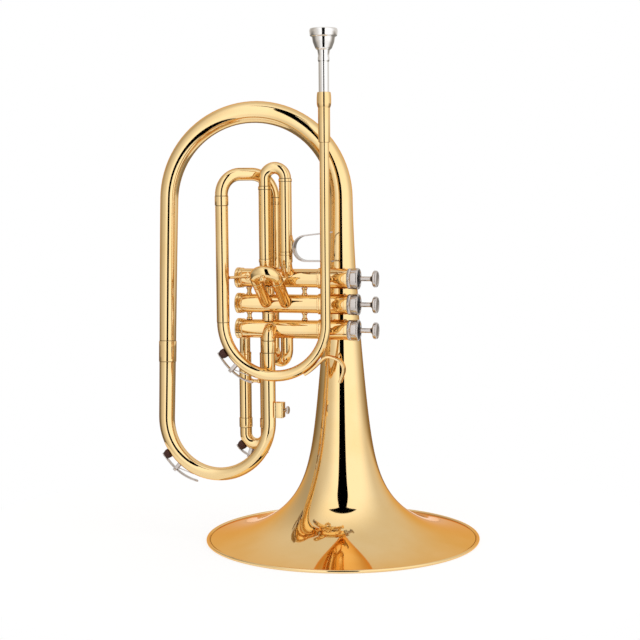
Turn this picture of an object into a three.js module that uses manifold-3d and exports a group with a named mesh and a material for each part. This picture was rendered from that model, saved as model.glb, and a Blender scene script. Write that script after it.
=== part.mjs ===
// A bell-front mellophone, standing on its bell with the mouthpiece up.
// Millimetres, +Z up. The bell's axis is vertical, the three valves lie along X with their
// buttons at +X, and the leadpipe and the second valve slide face -Y.
import * as THREE from "three";
import { mergeVertices } from "three/addons/utils/BufferGeometryUtils.js";
import Module from "manifold-3d";

const wasm = await Module();
wasm.setup();

// Fits between pieces
const seatGap = 0.3;
const slideGap = 0.35;
const cutOverrun = 2;

// Bell
const bellRimRadius = 130;
const bellStemRadius = 11.2;
const bellSpringHeight = 325.8;
const bellJointHeight = 230;
const bellWall = 0.9;
const bellRimHeight = 1.8;
const bellBeadRadius = 1.6;
const bellThroatShare = 0.2325;
const bellFlareShare = 0.605;
const bellThroatPower = 1.52;
const bellFlarePower = 12.5;
const bellLipPower = 70;
const bellSpacingPower = 2.3;
const bellRings = 10;

// Big loop from valve 3 round to the bell
const loopWall = 0.7;
const exitTubeRadius = 6.1;
const exitTubeX = -57.8;
const exitTubeY = -47;
const exitTubeDrop = 44.1;
const lowerBowRadius = 52;
const lowerBowDrop = 108.7;
const leftLegBottomRadius = 7.5;
const leftLegTopRadius = 8.6;
const leftLegSplay = 2.2;
const archCrownRadius = 10.2;
const legFerruleLow = 172;
const legFerruleHigh = 191;
const stemFerruleLength = 16;
const ferruleGrowth = 0.7;
const legFerruleGrowth = 0.45;

// Valves
const valvePitch = 23.75;
const valveMiddleHeight = 228.7;
const valveY = -32;
const casingRadius = 8.6;
const casingSleeveRadius = 9.1;
const casingBore = 7.9;
const casingBottomX = -89;
const casingTopX = 14.9;
const casingStepX = -13.3;
const casingFootRadius = 9.3;
const casingFootLength = 3;
const casingBead = 0.5;
const casingBeadWidth = 1.6;
const valveStroke = 12;

// Valve caps
const topCapLength = 10;
const topCapRadius = 9.9;
const topCapNeckRadius = 9.4;
const topCapWall = 2;
const topCapFaceRadius = 8.3;
const topCapBore = 8.3;
const stemHoleRadius = 2.7;
const bottomCapLength = 3.5;
const bottomCapRadius = 9.5;
const bottomCapWall = 1.2;
const bottomCapSpigot = 7.9;
const bottomCapVentRadius = 1.6;
const bottomCapKnobRadius = 3.4;
const bottomCapKnobLength = 1.2;

// Pistons, springs and buttons
const pistonRadius = 7.5;
const pistonBottomX = -79;
const pistonBodyTopX = -32;
const pistonBarrelWall = 1.2;
const windwayRadius = 4.2;
const windwayPitch = 12;
const stemRadius = 2.2;
const stemBaseThickness = 2;
const stemFeltThickness = 2.5;
const stemFeltRadius = 6;
const buttonRadius = 7.7;
const buttonThickness = 4.3;
const buttonEdge = 1.1;
const buttonFaceX = 42.4;
const guideX = -24;
const guideThickness = 3;
const guideRadius = 5.7;
const guideKeyWidth = 3;
const springRadius = 4.4;
const springWire = 0.55;
const springCurls = 4;
const springStepsPerCurl = 7;
const springWireSides = 3;

// Where tubes meet the valves, along the valves
const portX = -62;
const knuckleRadius = 5.9;
const tubeWall = 0.55;
const portTubeRadius = 5.6;
const portTubeBore = 5;
const exitElbowRadius = 9;
const exitFerruleLength = 10.6;

// Leadpipe
const leadX = 0.3;
const leadY = -60;
const leadTopHeight = 392;
const leadTopRadius = 4.3;
const leadMiddleRise = 41.3;
const leadMiddleRadius = 4.6;
const leadLoopRadius = 48.7;
const leadLoopDrop = 15.4;
const leadTubeRadius = 5.9;
const leadWall = 0.55;
const leadEndRise = 91.3;

// Mouthpiece receiver
const receiverOverlap = 15.7;
const receiverRingRise = 15.4;
const receiverRise = 28.7;
const receiverSleeveRadius = 5.4;
const receiverBarrelRadius = 6.5;
const receiverMouthRadius = 6;
const receiverRingRadius = 5.9;
const receiverStopRise = 3;

// Mouthpiece
const mouthReach = 56.1;
const mouthRimRadius = 12.7;
const mouthRimRound = 2.4;
const mouthInnerRadius = 8.3;
const mouthCupDepth = 12.5;
const mouthCollarDrop = 7.5;
const mouthCupRadius = 10.2;
const mouthCupFootDrop = 18.2;
const mouthCupFootRadius = 6.3;
const mouthNeckDrop = 23.1;
const mouthNeckRadius = 5;
const mouthBeadDrop = 27.1;
const mouthBeadRadius = 5.3;
const mouthShankRadius = 4.75;
const mouthShankDepth = 21.7;
const mouthShankEndRadius = 4.3;
const mouthThroatRadius = 1.9;
const mouthBackboreRadius = 3.5;

// Main tuning slide
const mainRearX = -58.3;
const mainRearOffset = 6.5;
const mainPortLean = THREE.MathUtils.degToRad(32);
const mainPortBend = 12;
const mainBowRise = 119.8;
const mainFrontBend = 18.5;
const mainRearBend = 22;
const mainLegRadius = 5;
const mainLegWall = 0.6;
const mainLegLength = 38;
const mainFerruleRise = 99.7;

// First valve slide
const firstMiddleX = -50.9;
const firstLegPitch = 19.6;
const firstLegOffset = 12;
const firstPortLean = THREE.MathUtils.degToRad(48);
const firstPortBend = 10;
const firstBowRise = 113;
const firstLeftRingRise = 105.8;
const firstLeftSleeveRise = 39.2;
const firstRightSleeveRise = 45.8;
const firstInnerRadius = 4.8;
const firstSleeveRadius = 5.75;
const firstBowTubeRadius = 5.45;
const firstInnerRise = 99.3;
const firstRingLength = 2.5;
const firstBracketRise = 55.3;
const firstBracketSpan = 18;
const firstBracketTipSpan = 9;
const firstBracketWidth = 7;

// Thumb saddle
const saddleLeftX = -33.7;
const saddleRise = 52.1;
const saddleRadius = 11;
const saddleThickness = 1.3;
const saddleWidth = 10.5;
const saddleReach = 25;
const saddleSplay = THREE.MathUtils.degToRad(7);

// Second valve slide
const secondMiddleX = -52.1;
const secondLegPitch = 18.8;
const secondPortRise = THREE.MathUtils.degToRad(15);
const secondPortRun = 9.5;
const secondPortBend = 9;
const secondRise = THREE.MathUtils.degToRad(39.3);
const secondTubeRadius = 5.6;
const secondInnerRadius = 4.75;
const secondBowTubeRadius = 5.6;
const secondTubeEnd = 26.7;
const secondInnerStart = 1.5;
const secondBowStart = 34.9;
const secondKnobRadius = 2.3;
const secondKnobNeck = 1.2;

// Third valve slide
const thirdMiddleX = -75.2;
const thirdLegPitch = 20.3;
const thirdInnerRadius = 4.95;
const thirdInnerDrop = 102.7;
const thirdSleeveRadius = 5.85;
const thirdSleeveDrop = 46.2;
const thirdFerruleHighDrop = 108.1;
const thirdFerruleLowDrop = 116.7;
const thirdBowDrop = 123;
const thirdBowTubeRadius = 5.6;
const thirdBraceDrop = 27;
const thirdBraceRadius = 1.6;

// Crossover bow behind valves 2 and 3
const crossRightX = -45;
const crossLeftX = -63;
const crossRightY = -30;
const crossLeftY = -14;
const crossDrop = 42.5;
const crossTubeRadius = 5.8;
const crossElbowRadius = 9;

// Braces
const casingPostX = [-80.5, -27];
const casingPostRadius = 2.1;
const leadPostRadius = 2.6;
const bellPostRadius = 2.8;
const braceRodRadius = 1.3;
const braceRodRise = 1.5;
const braceFootX = -78.7;
const braceFootSpan = 9.4;
const braceFootHeight = 9;
const braceFootThickness = 1.5;

// Pinky hook, along the leadpipe loop and curled at its end
const hookThickness = 1.8;
const hookWidth = 8.5;
const hookStartAngle = THREE.MathUtils.degToRad(-58);
const hookLeaveAngle = THREE.MathUtils.degToRad(-47);
const hookRun = 12;
const hookCrestRadius = 8;
const hookCrestTurn = THREE.MathUtils.degToRad(58);
const hookShoulder = 4;
const hookCurlRadius = 10.5;
const hookCurlTurn = THREE.MathUtils.degToRad(95);
const hookTip = 8.5;

// Lyre box
const lyreTopDrop = 90.3;
const lyreLowDrop = 104.6;
const lyreWidth = 8;
const lyreDepth = 8.4;
const lyreSlotWidth = 4.6;
const lyreSlotDepth = 5.2;
const lyreScrewRadius = 1.6;
const lyreHeadRadius = 3.7;
const lyreHeadLength = 2.6;
const lyreHeadStandoff = 2.2;

// Water keys
const keyWidth = 4.4;
const keyThickness = 1.3;
const keyLift = 6.3;
const keyCorkRadius = 3.9;
const keyPinRadius = 0.8;
const keyEarThickness = 1.1;
const keyBarrelRadius = 1.9;
const keyThumbRadius = 3.4;
const keyThumbThickness = 1.8;
const keyThumbRise = 0.6;
const keyRiseShare = 0.55;

// Where each key's cork, pivot and thumb end stand round its bow, in degrees
const keyPlaces = [
  [215, 229, 252],
  [211, 227, 250],
  [219, 252, 300],
];

// Heights that go with the valves
const lowerBowHeight = valveMiddleHeight - lowerBowDrop;
const exitTubeTop = valveMiddleHeight - exitTubeDrop;
const leadMiddleHeight = valveMiddleHeight + leadMiddleRise;
const leadLoopHeight = valveMiddleHeight - leadLoopDrop;
const leadEndHeight = valveMiddleHeight + leadEndRise;
const mainBowTop = valveMiddleHeight + mainBowRise;
const mainFerruleTop = valveMiddleHeight + mainFerruleRise;
const firstBowHeight = valveMiddleHeight + firstBowRise;
const firstLeftRing = valveMiddleHeight + firstLeftRingRise;
const firstLeftSleeveLow = valveMiddleHeight + firstLeftSleeveRise;
const firstRightSleeveLow = valveMiddleHeight + firstRightSleeveRise;
const firstInnerTop = valveMiddleHeight + firstInnerRise;
const firstBracketHeight = valveMiddleHeight + firstBracketRise;
const saddleHeight = valveMiddleHeight + saddleRise;
const thirdInnerEnd = valveMiddleHeight - thirdInnerDrop;
const thirdSleeveHigh = valveMiddleHeight - thirdSleeveDrop;
const thirdFerruleHigh = valveMiddleHeight - thirdFerruleHighDrop;
const thirdFerruleLow = valveMiddleHeight - thirdFerruleLowDrop;
const thirdBowHeight = valveMiddleHeight - thirdBowDrop;
const crossHeight = valveMiddleHeight - crossDrop;
const lyreTop = valveMiddleHeight - lyreTopDrop;
const lyreLow = valveMiddleHeight - lyreLowDrop;

// Heights that go with the top of the leadpipe
const receiverLow = leadTopHeight - receiverOverlap;
const receiverRing = leadTopHeight + receiverRingRise;
const receiverHigh = leadTopHeight + receiverRise;
const receiverStop = leadTopHeight + receiverStopRise;

// Faces round each shape
const bellSides = 30;
const bigTubeSides = 12;
const tubeSides = 9;
const valveSides = 12;
const rodSides = 8;

// Steps round each half-turn bend
const archSteps = 10;
const lowerBowSteps = 8;
const leadLoopSteps = 8;
const slideBowSteps = 5;
const mainBendSteps = 4;
const elbowSteps = 3;

// Colours
const finishes = {
  brass: { color: 0xd9a445, roughness: 0.18, metalness: 1 },
  nickel: { color: 0xd5d3cf, roughness: 0.2, metalness: 1 },
  silver: { color: 0xe6e4e0, roughness: 0.12, metalness: 1 },
  steel: { color: 0x9a9a9a, roughness: 0.35, metalness: 1 },
  cork: { color: 0x2a2320, roughness: 0.9, metalness: 0 },
};

const group = new THREE.Group();
const axisX = new THREE.Vector3(1, 0, 0);
const axisY = new THREE.Vector3(0, 1, 0);
const axisZ = new THREE.Vector3(0, 0, 1);
const down = axisZ.clone().negate();
const fullTurn = 2 * Math.PI;
const halfTurn = Math.PI;
const quarterTurn = Math.PI / 2;
const eighthTurn = Math.PI / 4;

// Adds a piece to the instrument under its name.
function piece(name, finish, geometry) {
  const mesh = new THREE.Mesh(geometry, new THREE.MeshStandardMaterial(finishes[finish]));
  mesh.name = name;
  group.add(mesh);
  return mesh;
}

function vector(x, y, z) {
  return new THREE.Vector3(x, y, z);
}

// A tube's centre line, walked as straight runs and round bends. Each station keeps the
// section's outer and inner radius, so a ferrule is a step in the outer radius.
class Route {
  constructor(start, direction, outer, inner) {
    this.at = start.clone();
    this.along = direction.clone().normalize();
    this.outer = outer;
    this.inner = inner;
    this.length = 0;
    this.stations = [];
    this.mark();
  }

  mark() {
    this.stations.push({
      point: this.at.clone(),
      along: this.along.clone(),
      outer: this.outer,
      inner: this.inner,
      length: this.length,
    });
    return this;
  }

  // Changes the section where the route stands.
  step(outer, inner = this.inner) {
    this.outer = outer;
    this.inner = inner;
    return this.mark();
  }

  straight(length, parts = 1) {
    for (let part = 0; part < parts; part += 1) {
      this.at.addScaledVector(this.along, length / parts);
      this.length += length / parts;
      this.mark();
    }
    return this;
  }

  // Turns through an angle about a centre that lies one bend radius away, towards the given side.
  bend(radius, angle, side, steps) {
    const centre = this.at.clone().addScaledVector(side, radius);
    const start = this.along.clone();
    for (let step = 1; step <= steps; step += 1) {
      const turned = (angle * step) / steps;
      this.at
        .copy(centre)
        .addScaledVector(side, -radius * Math.cos(turned))
        .addScaledVector(start, radius * Math.sin(turned));
      this.along
        .copy(start)
        .multiplyScalar(Math.cos(turned))
        .addScaledVector(side, Math.sin(turned));
      this.length += (radius * angle) / steps;
      this.mark();
    }
    return this;
  }
}

// Places a flat section at every station, with its first axis kept as steady as the bends allow.
function placeSections(stations, reference, sectionAt) {
  const normal = reference.clone();
  return stations.map((station) => {
    normal.addScaledVector(station.along, -normal.dot(station.along)).normalize();
    const side = station.along.clone().cross(normal);
    return sectionAt(station).map(([a, b]) =>
      station.point.clone().addScaledVector(normal, a).addScaledVector(side, b),
    );
  });
}

// Joins a closed chain of rings, or an open chain with both ends filled, into a geometry.
function skin(rings, closed) {
  const sides = rings[0].length;
  const points = rings.flat();
  const faces = [];
  const last = closed ? rings.length : rings.length - 1;
  for (let ring = 0; ring < last; ring += 1) {
    const next = (ring + 1) % rings.length;
    for (let side = 0; side < sides; side += 1) {
      const other = (side + 1) % sides;
      const corners = [ring * sides + side, ring * sides + other, next * sides + other, next * sides + side];
      faces.push([corners[0], corners[1], corners[2]], [corners[0], corners[2], corners[3]]);
    }
  }
  if (!closed) {
    const end = (rings.length - 1) * sides;
    for (let side = 1; side < sides - 1; side += 1) {
      faces.push([0, side + 1, side], [end, end + side, end + side + 1]);
    }
  }
  const position = [];
  for (const face of faces) {
    const [a, b, c] = face.map((index) => points[index]);
    const flat = a.distanceTo(b) * b.distanceTo(c) * c.distanceTo(a) === 0;
    if (!flat) position.push(...a.toArray(), ...b.toArray(), ...c.toArray());
  }
  const geometry = new THREE.BufferGeometry();
  geometry.setAttribute("position", new THREE.Float32BufferAttribute(position, 3));
  geometry.computeVertexNormals();
  return geometry;
}

function circle(radius, sides) {
  return Array.from({ length: sides }, (_, side) => {
    const angle = (fullTurn * (side + 0.5)) / sides;
    return [radius * Math.cos(angle), radius * Math.sin(angle)];
  });
}

// An open-ended tube along a route.
function tube(route, sides = tubeSides, reference = axisY) {
  const start = Math.abs(route.stations[0].along.dot(reference)) > 0.9 ? axisX : reference;
  const outer = placeSections(route.stations, start, (station) => circle(station.outer, sides));
  const inner = placeSections(route.stations, start, (station) => circle(station.inner, sides));
  const bore = inner.reverse().filter((ring, index, all) => {
    return index === 0 || ring[0].distanceTo(all[index - 1][0]) > 0;
  });
  return skin([...outer, ...bore], true);
}

// A solid rod along a route.
function rod(route, sides = rodSides, reference = axisY) {
  const start = Math.abs(route.stations[0].along.dot(reference)) > 0.9 ? axisX : reference;
  return skin(
    placeSections(route.stations, start, (station) => circle(station.outer, sides)),
    false,
  );
}

// A flat strip along a route: its width lies along the reference axis.
function strip(route, width, thickness, reference = axisY) {
  const a = width / 2;
  const b = thickness / 2;
  return skin(
    placeSections(route.stations, reference, () => [[a, -b], [a, b], [-a, b], [-a, -b]]),
    false,
  );
}

// A turned shape about Z: the profile is a closed list of [radius, height].
function turned(profile, sides) {
  const points = profile.map(([radius, height]) => new THREE.Vector2(radius, height));
  const signed = points.reduce((sum, point, index) => sum + point.cross(points[(index + 1) % points.length]), 0);
  if (signed < 0) points.reverse();
  points.push(points[0].clone());
  const geometry = new THREE.LatheGeometry(points, sides);
  geometry.rotateX(quarterTurn);
  return geometry;
}

// A turned shape about a valve's axis: the profile is a closed list of [radius, x].
function turnedOnValve(profile, height, sides = valveSides) {
  const geometry = turned(profile, sides);
  geometry.rotateY(quarterTurn);
  geometry.translate(0, valveY, height);
  return geometry;
}

function bar(from, to, radius, sides = rodSides) {
  const along = to.clone().sub(from);
  const route = new Route(from, along, radius, 0).straight(along.length());
  return rod(route, sides);
}

function box(low, high) {
  const size = high.clone().sub(low);
  const middle = high.clone().add(low).multiplyScalar(0.5);
  const geometry = new THREE.BoxGeometry(size.x, size.y, size.z);
  geometry.translate(middle.x, middle.y, middle.z);
  return geometry;
}

// Solids for joining and cutting
function solid(geometry) {
  const bare = new THREE.BufferGeometry();
  bare.setAttribute("position", geometry.getAttribute("position"));
  if (geometry.index) bare.setIndex(geometry.index);
  const merged = mergeVertices(bare, 1e-4);
  const corners = [];
  const index = merged.index.array;
  for (let face = 0; face < index.length; face += 3) {
    const [a, b, c] = [index[face], index[face + 1], index[face + 2]];
    if (a !== b && b !== c && c !== a) corners.push(a, b, c);
  }
  return new wasm.Manifold(
    new wasm.Mesh({
      numProp: 3,
      vertProperties: Float32Array.from(merged.getAttribute("position").array),
      triVerts: Uint32Array.from(corners),
    }),
  );
}

function shape(made) {
  const mesh = made.getMesh();
  const position = new Float32Array(mesh.triVerts.length * 3);
  mesh.triVerts.forEach((vertex, corner) => {
    for (let axis = 0; axis < 3; axis += 1) {
      position[corner * 3 + axis] = mesh.vertProperties[vertex * mesh.numProp + axis];
    }
  });
  const geometry = new THREE.BufferGeometry();
  geometry.setAttribute("position", new THREE.BufferAttribute(position, 3));
  geometry.computeVertexNormals();
  return geometry;
}

function join(...geometries) {
  return shape(geometries.map(solid).reduce((sum, next) => sum.add(next)));
}

function cut(geometry, ...tools) {
  return shape(tools.map(solid).reduce((rest, tool) => rest.subtract(tool), solid(geometry)));
}

// The bell's outer radius at a height, by three powers: a slow throat, a flare and a flat lip.
const beadHeight = bellRimHeight + bellBeadRadius;
const beadRingRadius = bellRimRadius - bellBeadRadius;

function bellRadiusAt(height) {
  const reach = 1 - Math.max(0, height - beadHeight) / (bellSpringHeight - beadHeight);
  const flare =
    bellThroatShare * reach ** bellThroatPower +
    bellFlareShare * reach ** bellFlarePower +
    (1 - bellThroatShare - bellFlareShare) * reach ** bellLipPower;
  return bellStemRadius + (beadRingRadius - bellStemRadius) * flare;
}

function bell() {
  const outer = [];
  const inner = [];
  const drop = bellJointHeight - beadHeight;
  for (let ring = bellRings; ring > 0; ring -= 1) {
    const height = beadHeight + drop * (ring / bellRings) ** bellSpacingPower;
    const lower = height - bellWall / 2;
    const slope = (bellRadiusAt(height + bellWall / 2) - bellRadiusAt(lower)) / bellWall;
    const lean = Math.hypot(1, slope);
    const radius = bellRadiusAt(height);
    outer.push([radius, height]);
    inner.unshift([radius - bellWall / lean, height + (bellWall * slope) / lean]);
  }
  inner.pop();
  inner.push([bellRadiusAt(bellJointHeight) - bellWall, bellJointHeight]);
  const bead = [];
  const beadSides = 8;
  const beadCorner = bellBeadRadius / Math.cos(halfTurn / beadSides);
  for (let side = 0; side < beadSides - 1; side += 1) {
    const angle = halfTurn / beadSides + quarterTurn - (fullTurn * (side + 1)) / beadSides;
    bead.push([
      beadRingRadius + beadCorner * Math.cos(angle),
      beadHeight + beadCorner * Math.sin(angle),
    ]);
  }
  return turned([...outer, ...bead, ...inner], bellSides);
}

// The big loop's centre line from the exit tube to the bell's stem, drawn flat and then
// swung back so that it leaves the exit tube's plane and reaches the bell's.
const archRadius = (-(exitTubeX - 2 * lowerBowRadius)) / 2;
const loopStraight = exitTubeTop - lowerBowHeight;
const loopLower = halfTurn * lowerBowRadius;
const loopLeg = bellSpringHeight - lowerBowHeight;
const loopArch = halfTurn * archRadius;

function loopY(length) {
  const share = THREE.MathUtils.clamp((length - loopStraight) / (loopLower + loopLeg + loopArch), 0, 1);
  return exitTubeY * (1 - share * share * (3 - 2 * share));
}

// The leg and the arch lean out a little, most where they meet.
function loopSplay(length) {
  const share = (length - loopStraight - loopLower) / (loopLeg + loopArch);
  const wave = Math.sin(halfTurn * THREE.MathUtils.clamp(share, 0, 1));
  return -leftLegSplay * wave * wave;
}

function loopRadius(length) {
  const lowerEnd = loopStraight + loopLower;
  const marks = [
    [0, exitTubeRadius],
    [loopStraight + loopLower / 2, exitTubeRadius],
    [lowerEnd, leftLegBottomRadius],
    [lowerEnd + loopLeg, leftLegTopRadius],
    [lowerEnd + loopLeg + loopArch / 2, archCrownRadius],
    [lowerEnd + loopLeg + loopArch, bellStemRadius],
  ];
  for (let mark = 1; mark < marks.length; mark += 1) {
    const [from, small] = marks[mark - 1];
    const [to, large] = marks[mark];
    if (length <= to) return THREE.MathUtils.mapLinear(length, from, to, small, large);
  }
  const height = bellSpringHeight - (length - marks[marks.length - 1][0]);
  return bellRadiusAt(height);
}

function swungIntoPlace(route) {
  for (const station of route.stations) {
    const ahead = station.length + cutOverrun;
    const behind = station.length - cutOverrun;
    const rise = station.outer - route.outer;
    station.point.y = loopY(station.length);
    station.point.x += loopSplay(station.length);
    station.along.y = (loopY(ahead) - loopY(behind)) / (2 * cutOverrun);
    station.along.x += (loopSplay(ahead) - loopSplay(behind)) / (2 * cutOverrun);
    station.along.normalize();
    station.outer = loopRadius(station.length) + rise;
    station.inner = loopRadius(station.length) - loopWall;
  }
  return route;
}

function bigLoop() {
  const legFoot = loopStraight + loopLower;
  const lower = new Route(vector(exitTubeX, exitTubeY, exitTubeTop), down, exitTubeRadius, 0)
    .straight(loopStraight)
    .bend(lowerBowRadius, halfTurn, axisX.clone().negate(), lowerBowSteps)
    .straight(legFerruleLow - seatGap - lowerBowHeight, 2);
  piece("lower_bow", "brass", tube(swungIntoPlace(lower), bigTubeSides));

  const ferruleSpan = legFerruleHigh - legFerruleLow;
  const legX = exitTubeX - 2 * lowerBowRadius;
  const upper = new Route(vector(legX, 0, legFerruleLow), axisZ, leftLegTopRadius, 0);
  upper.length = legFoot + legFerruleLow - lowerBowHeight;
  upper.stations[0].length = upper.length;
  upper.step(leftLegTopRadius + legFerruleGrowth);
  upper.stations.shift();
  upper.straight(ferruleSpan);
  upper.step(leftLegTopRadius);
  upper
    .straight(bellSpringHeight - legFerruleHigh, 2)
    .bend(archRadius, halfTurn, axisX, archSteps)
    .straight(bellSpringHeight - bellJointHeight - stemFerruleLength, 3)
    .step(leftLegTopRadius + legFerruleGrowth)
    .straight(stemFerruleLength - seatGap);
  upper.outer = leftLegTopRadius;
  piece("bell_bow", "brass", tube(swungIntoPlace(upper), bigTubeSides));
}

// Valves
const valveHeights = [1, 0, -1].map((place) => valveMiddleHeight + place * valvePitch);

// Everything inside this radius round a valve's axis is taken out of what meets the casing.
function casingEnvelope(height) {
  const radius = casingRadius + seatGap;
  const sleeve = casingSleeveRadius + seatGap;
  const foot = casingFootRadius + seatGap;
  const footEnd = casingBottomX + casingFootLength + seatGap;
  return turnedOnValve(
    [
      [0, casingBottomX - bottomCapLength - cutOverrun],
      [foot, casingBottomX - bottomCapLength - cutOverrun],
      [foot, footEnd],
      [radius, footEnd],
      [radius, casingStepX - seatGap],
      [sleeve, casingStepX - seatGap],
      [sleeve, casingTopX],
      [0, casingTopX],
    ],
    height,
  );
}

function portTool(x, height, direction, radius = portTubeBore) {
  const start = vector(x, valveY, height);
  const end = start.clone().addScaledVector(direction, casingRadius + cutOverrun);
  return bar(start, end, radius, tubeSides);
}

const frontUp = vector(0, -Math.sin(firstPortLean), Math.cos(firstPortLean));
const backUp = vector(0, Math.sin(mainPortLean), Math.cos(mainPortLean));
const secondPort = vector(0, -Math.cos(secondPortRise), Math.sin(secondPortRise));
const secondWay = vector(0, -Math.cos(secondRise), Math.sin(secondRise));
const firstLegs = [-1, 1].map((side) => firstMiddleX + (side * firstLegPitch) / 2);
const secondLegs = [-1, 1].map((side) => secondMiddleX + (side * secondLegPitch) / 2);
const thirdLegs = [-1, 1].map((side) => thirdMiddleX + (side * thirdLegPitch) / 2);

// Each casing's ports: where along it, and which way they face.
const casingPorts = [
  [
    [mainRearX, backUp],
    [firstLegs[0], frontUp],
    [firstLegs[1], frontUp],
    [portX, down],
  ],
  [
    [portX, axisZ],
    [secondLegs[0], secondPort],
    [secondLegs[1], secondPort],
    [portX, down],
    [crossLeftX, axisY],
  ],
  [
    [portX, axisZ],
    [exitTubeX, axisY.clone().negate()],
    [crossRightX, down],
    [thirdLegs[0], down],
    [thirdLegs[1], down],
  ],
];

function casingPosts(index) {
  const height = valveHeights[index];
  const posts = [];
  if (index === 1) {
    for (const x of casingPostX) {
      for (const side of [-1, 1]) {
        const reach = valvePitch - casingRadius - seatGap;
        const from = vector(x, valveY, height + side * (casingRadius - tubeWall));
        posts.push(bar(from, vector(x, valveY, height + side * reach), casingPostRadius));
      }
    }
    return posts;
  }
  const front = valveY - casingSleeveRadius;
  const leadBack = leadY + leadMiddleRadius + 2 * seatGap;
  posts.push(
    bar(vector(leadX, front + tubeWall, height), vector(leadX, leadBack, height), leadPostRadius),
  );
  const stemFront = -bellRadiusAt(height - bellPostRadius) - ferruleGrowth - seatGap;
  const back = valveY + casingSleeveRadius;
  posts.push(
    bar(vector(0, back - tubeWall, height), vector(0, stemFront, height), bellPostRadius),
  );
  return posts;
}

function casing(index) {
  const height = valveHeights[index];
  const beadEnd = casingStepX + casingBeadWidth;
  const footEnd = casingBottomX + casingFootLength;
  const body = turnedOnValve(
    [
      [casingBore, casingBottomX],
      [casingFootRadius, casingBottomX],
      [casingFootRadius, footEnd],
      [casingRadius, footEnd],
      [casingRadius, casingStepX],
      [casingSleeveRadius + casingBead, casingStepX],
      [casingSleeveRadius + casingBead, beadEnd],
      [casingSleeveRadius, beadEnd],
      [casingSleeveRadius, casingTopX],
      [casingBore, casingTopX],
    ],
    height,
  );
  const ports = casingPorts[index].map(([x, way]) => portTool(x, height, way));
  return cut(join(body, ...casingPosts(index)), ...ports);
}

function topCap(height) {
  const start = casingTopX + seatGap;
  const end = start + topCapLength;
  const edge = topCapRadius - topCapFaceRadius;
  return turnedOnValve(
    [
      [topCapBore, start],
      [topCapNeckRadius, start],
      [topCapNeckRadius, start + topCapLength * 0.3],
      [topCapRadius, start + topCapLength * 0.36],
      [topCapRadius, end - edge],
      [topCapRadius - edge * 0.3, end - edge * 0.3],
      [topCapFaceRadius, end],
      [stemHoleRadius, end],
      [stemHoleRadius, end - topCapWall],
      [topCapBore, end - topCapWall],
    ],
    height,
  );
}

function bottomCap(height) {
  const start = casingBottomX - seatGap;
  const end = start - bottomCapLength + seatGap;
  const edge = bottomCapRadius - bottomCapSpigot;
  return turnedOnValve(
    [
      [bottomCapVentRadius, end - bottomCapKnobLength],
      [bottomCapKnobRadius, end - bottomCapKnobLength],
      [bottomCapKnobRadius + edge / 2, end],
      [bottomCapRadius - edge / 2, end],
      [bottomCapRadius, end + edge / 2],
      [bottomCapRadius, start],
      [bottomCapSpigot, start],
      [bottomCapSpigot, end + bottomCapWall],
      [bottomCapVentRadius, end + bottomCapWall],
    ],
    height,
  );
}

const capInnerX = casingTopX + seatGap + topCapLength - topCapWall;
const feltTopX = capInnerX - seatGap;
const baseTopX = feltTopX - stemFeltThickness;
const barrelTopX = baseTopX - stemBaseThickness - seatGap;
const barrelBore = pistonRadius - pistonBarrelWall;

function piston(height) {
  const body = turnedOnValve(
    [
      [0, pistonBottomX],
      [pistonRadius, pistonBottomX],
      [pistonRadius, barrelTopX],
      [barrelBore, barrelTopX],
      [barrelBore, pistonBodyTopX],
      [0, pistonBodyTopX],
    ],
    height,
  );
  const ways = [-1, 0, 1].map((place) => {
    const x = portX + place * windwayPitch;
    const reach = pistonRadius + cutOverrun;
    return bar(vector(x, valveY, height - reach), vector(x, valveY, height + reach), windwayRadius, tubeSides);
  });
  const halfKey = guideKeyWidth / 2 + slideGap;
  const slot = box(
    vector(guideX - slideGap, valveY - pistonRadius - cutOverrun, height - halfKey),
    vector(
      guideX + guideThickness + valveStroke + slideGap,
      valveY + pistonRadius + cutOverrun,
      height + halfKey,
    ),
  );
  return cut(body, ...ways, slot);
}

function guide(height) {
  const end = guideX + guideThickness;
  const disc = turnedOnValve(
    [
      [0, guideX],
      [guideRadius, guideX],
      [guideRadius, end],
      [0, end],
    ],
    height,
    tubeSides,
  );
  const reach = casingBore * Math.cos(halfTurn / valveSides) - seatGap;
  const key = box(
    vector(guideX, valveY - reach, height - guideKeyWidth / 2),
    vector(end, valveY + reach, height + guideKeyWidth / 2),
  );
  return join(disc, key);
}

// A wound spring as one unbroken wire along X, from the guide to the stem's base.
const springStartX = guideX + guideThickness + seatGap;
const springEndX = baseTopX - stemBaseThickness - seatGap;
const springPitch = (springEndX - springStartX - 2 * springWire) / springCurls;
const springGap = springPitch - 2 * springWire;
console.log(`valve spring: least gap between curls ${springGap.toFixed(2)} mm`);

function spring(height) {
  const rings = [];
  const steps = springCurls * springStepsPerCurl;
  for (let step = 0; step <= steps; step += 1) {
    const angle = (fullTurn * step) / springStepsPerCurl;
    const x = springStartX + springWire + (springPitch * step) / springStepsPerCurl;
    const outward = vector(0, Math.cos(angle), Math.sin(angle));
    const centre = vector(x, valveY, height).addScaledVector(outward, springRadius);
    rings.push(
      circle(springWire, springWireSides).map(([a, b]) =>
        centre.clone().addScaledVector(outward, -a).addScaledVector(axisX, b),
      ),
    );
  }
  return skin(rings, false);
}

function stemAndButton(height) {
  const buttonBackX = buttonFaceX - buttonThickness;
  return turnedOnValve(
    [
      [0, baseTopX - stemBaseThickness],
      [pistonRadius - seatGap, baseTopX - stemBaseThickness],
      [pistonRadius - seatGap, baseTopX],
      [stemFeltRadius, baseTopX],
      [stemFeltRadius, feltTopX],
      [stemRadius, feltTopX],
      [stemRadius, buttonBackX],
      [buttonRadius - buttonEdge, buttonBackX],
      [buttonRadius, buttonBackX + buttonEdge],
      [buttonRadius, buttonFaceX - buttonEdge],
      [buttonRadius - buttonEdge, buttonFaceX],
      [0, buttonFaceX],
    ],
    height,
  );
}

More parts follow.
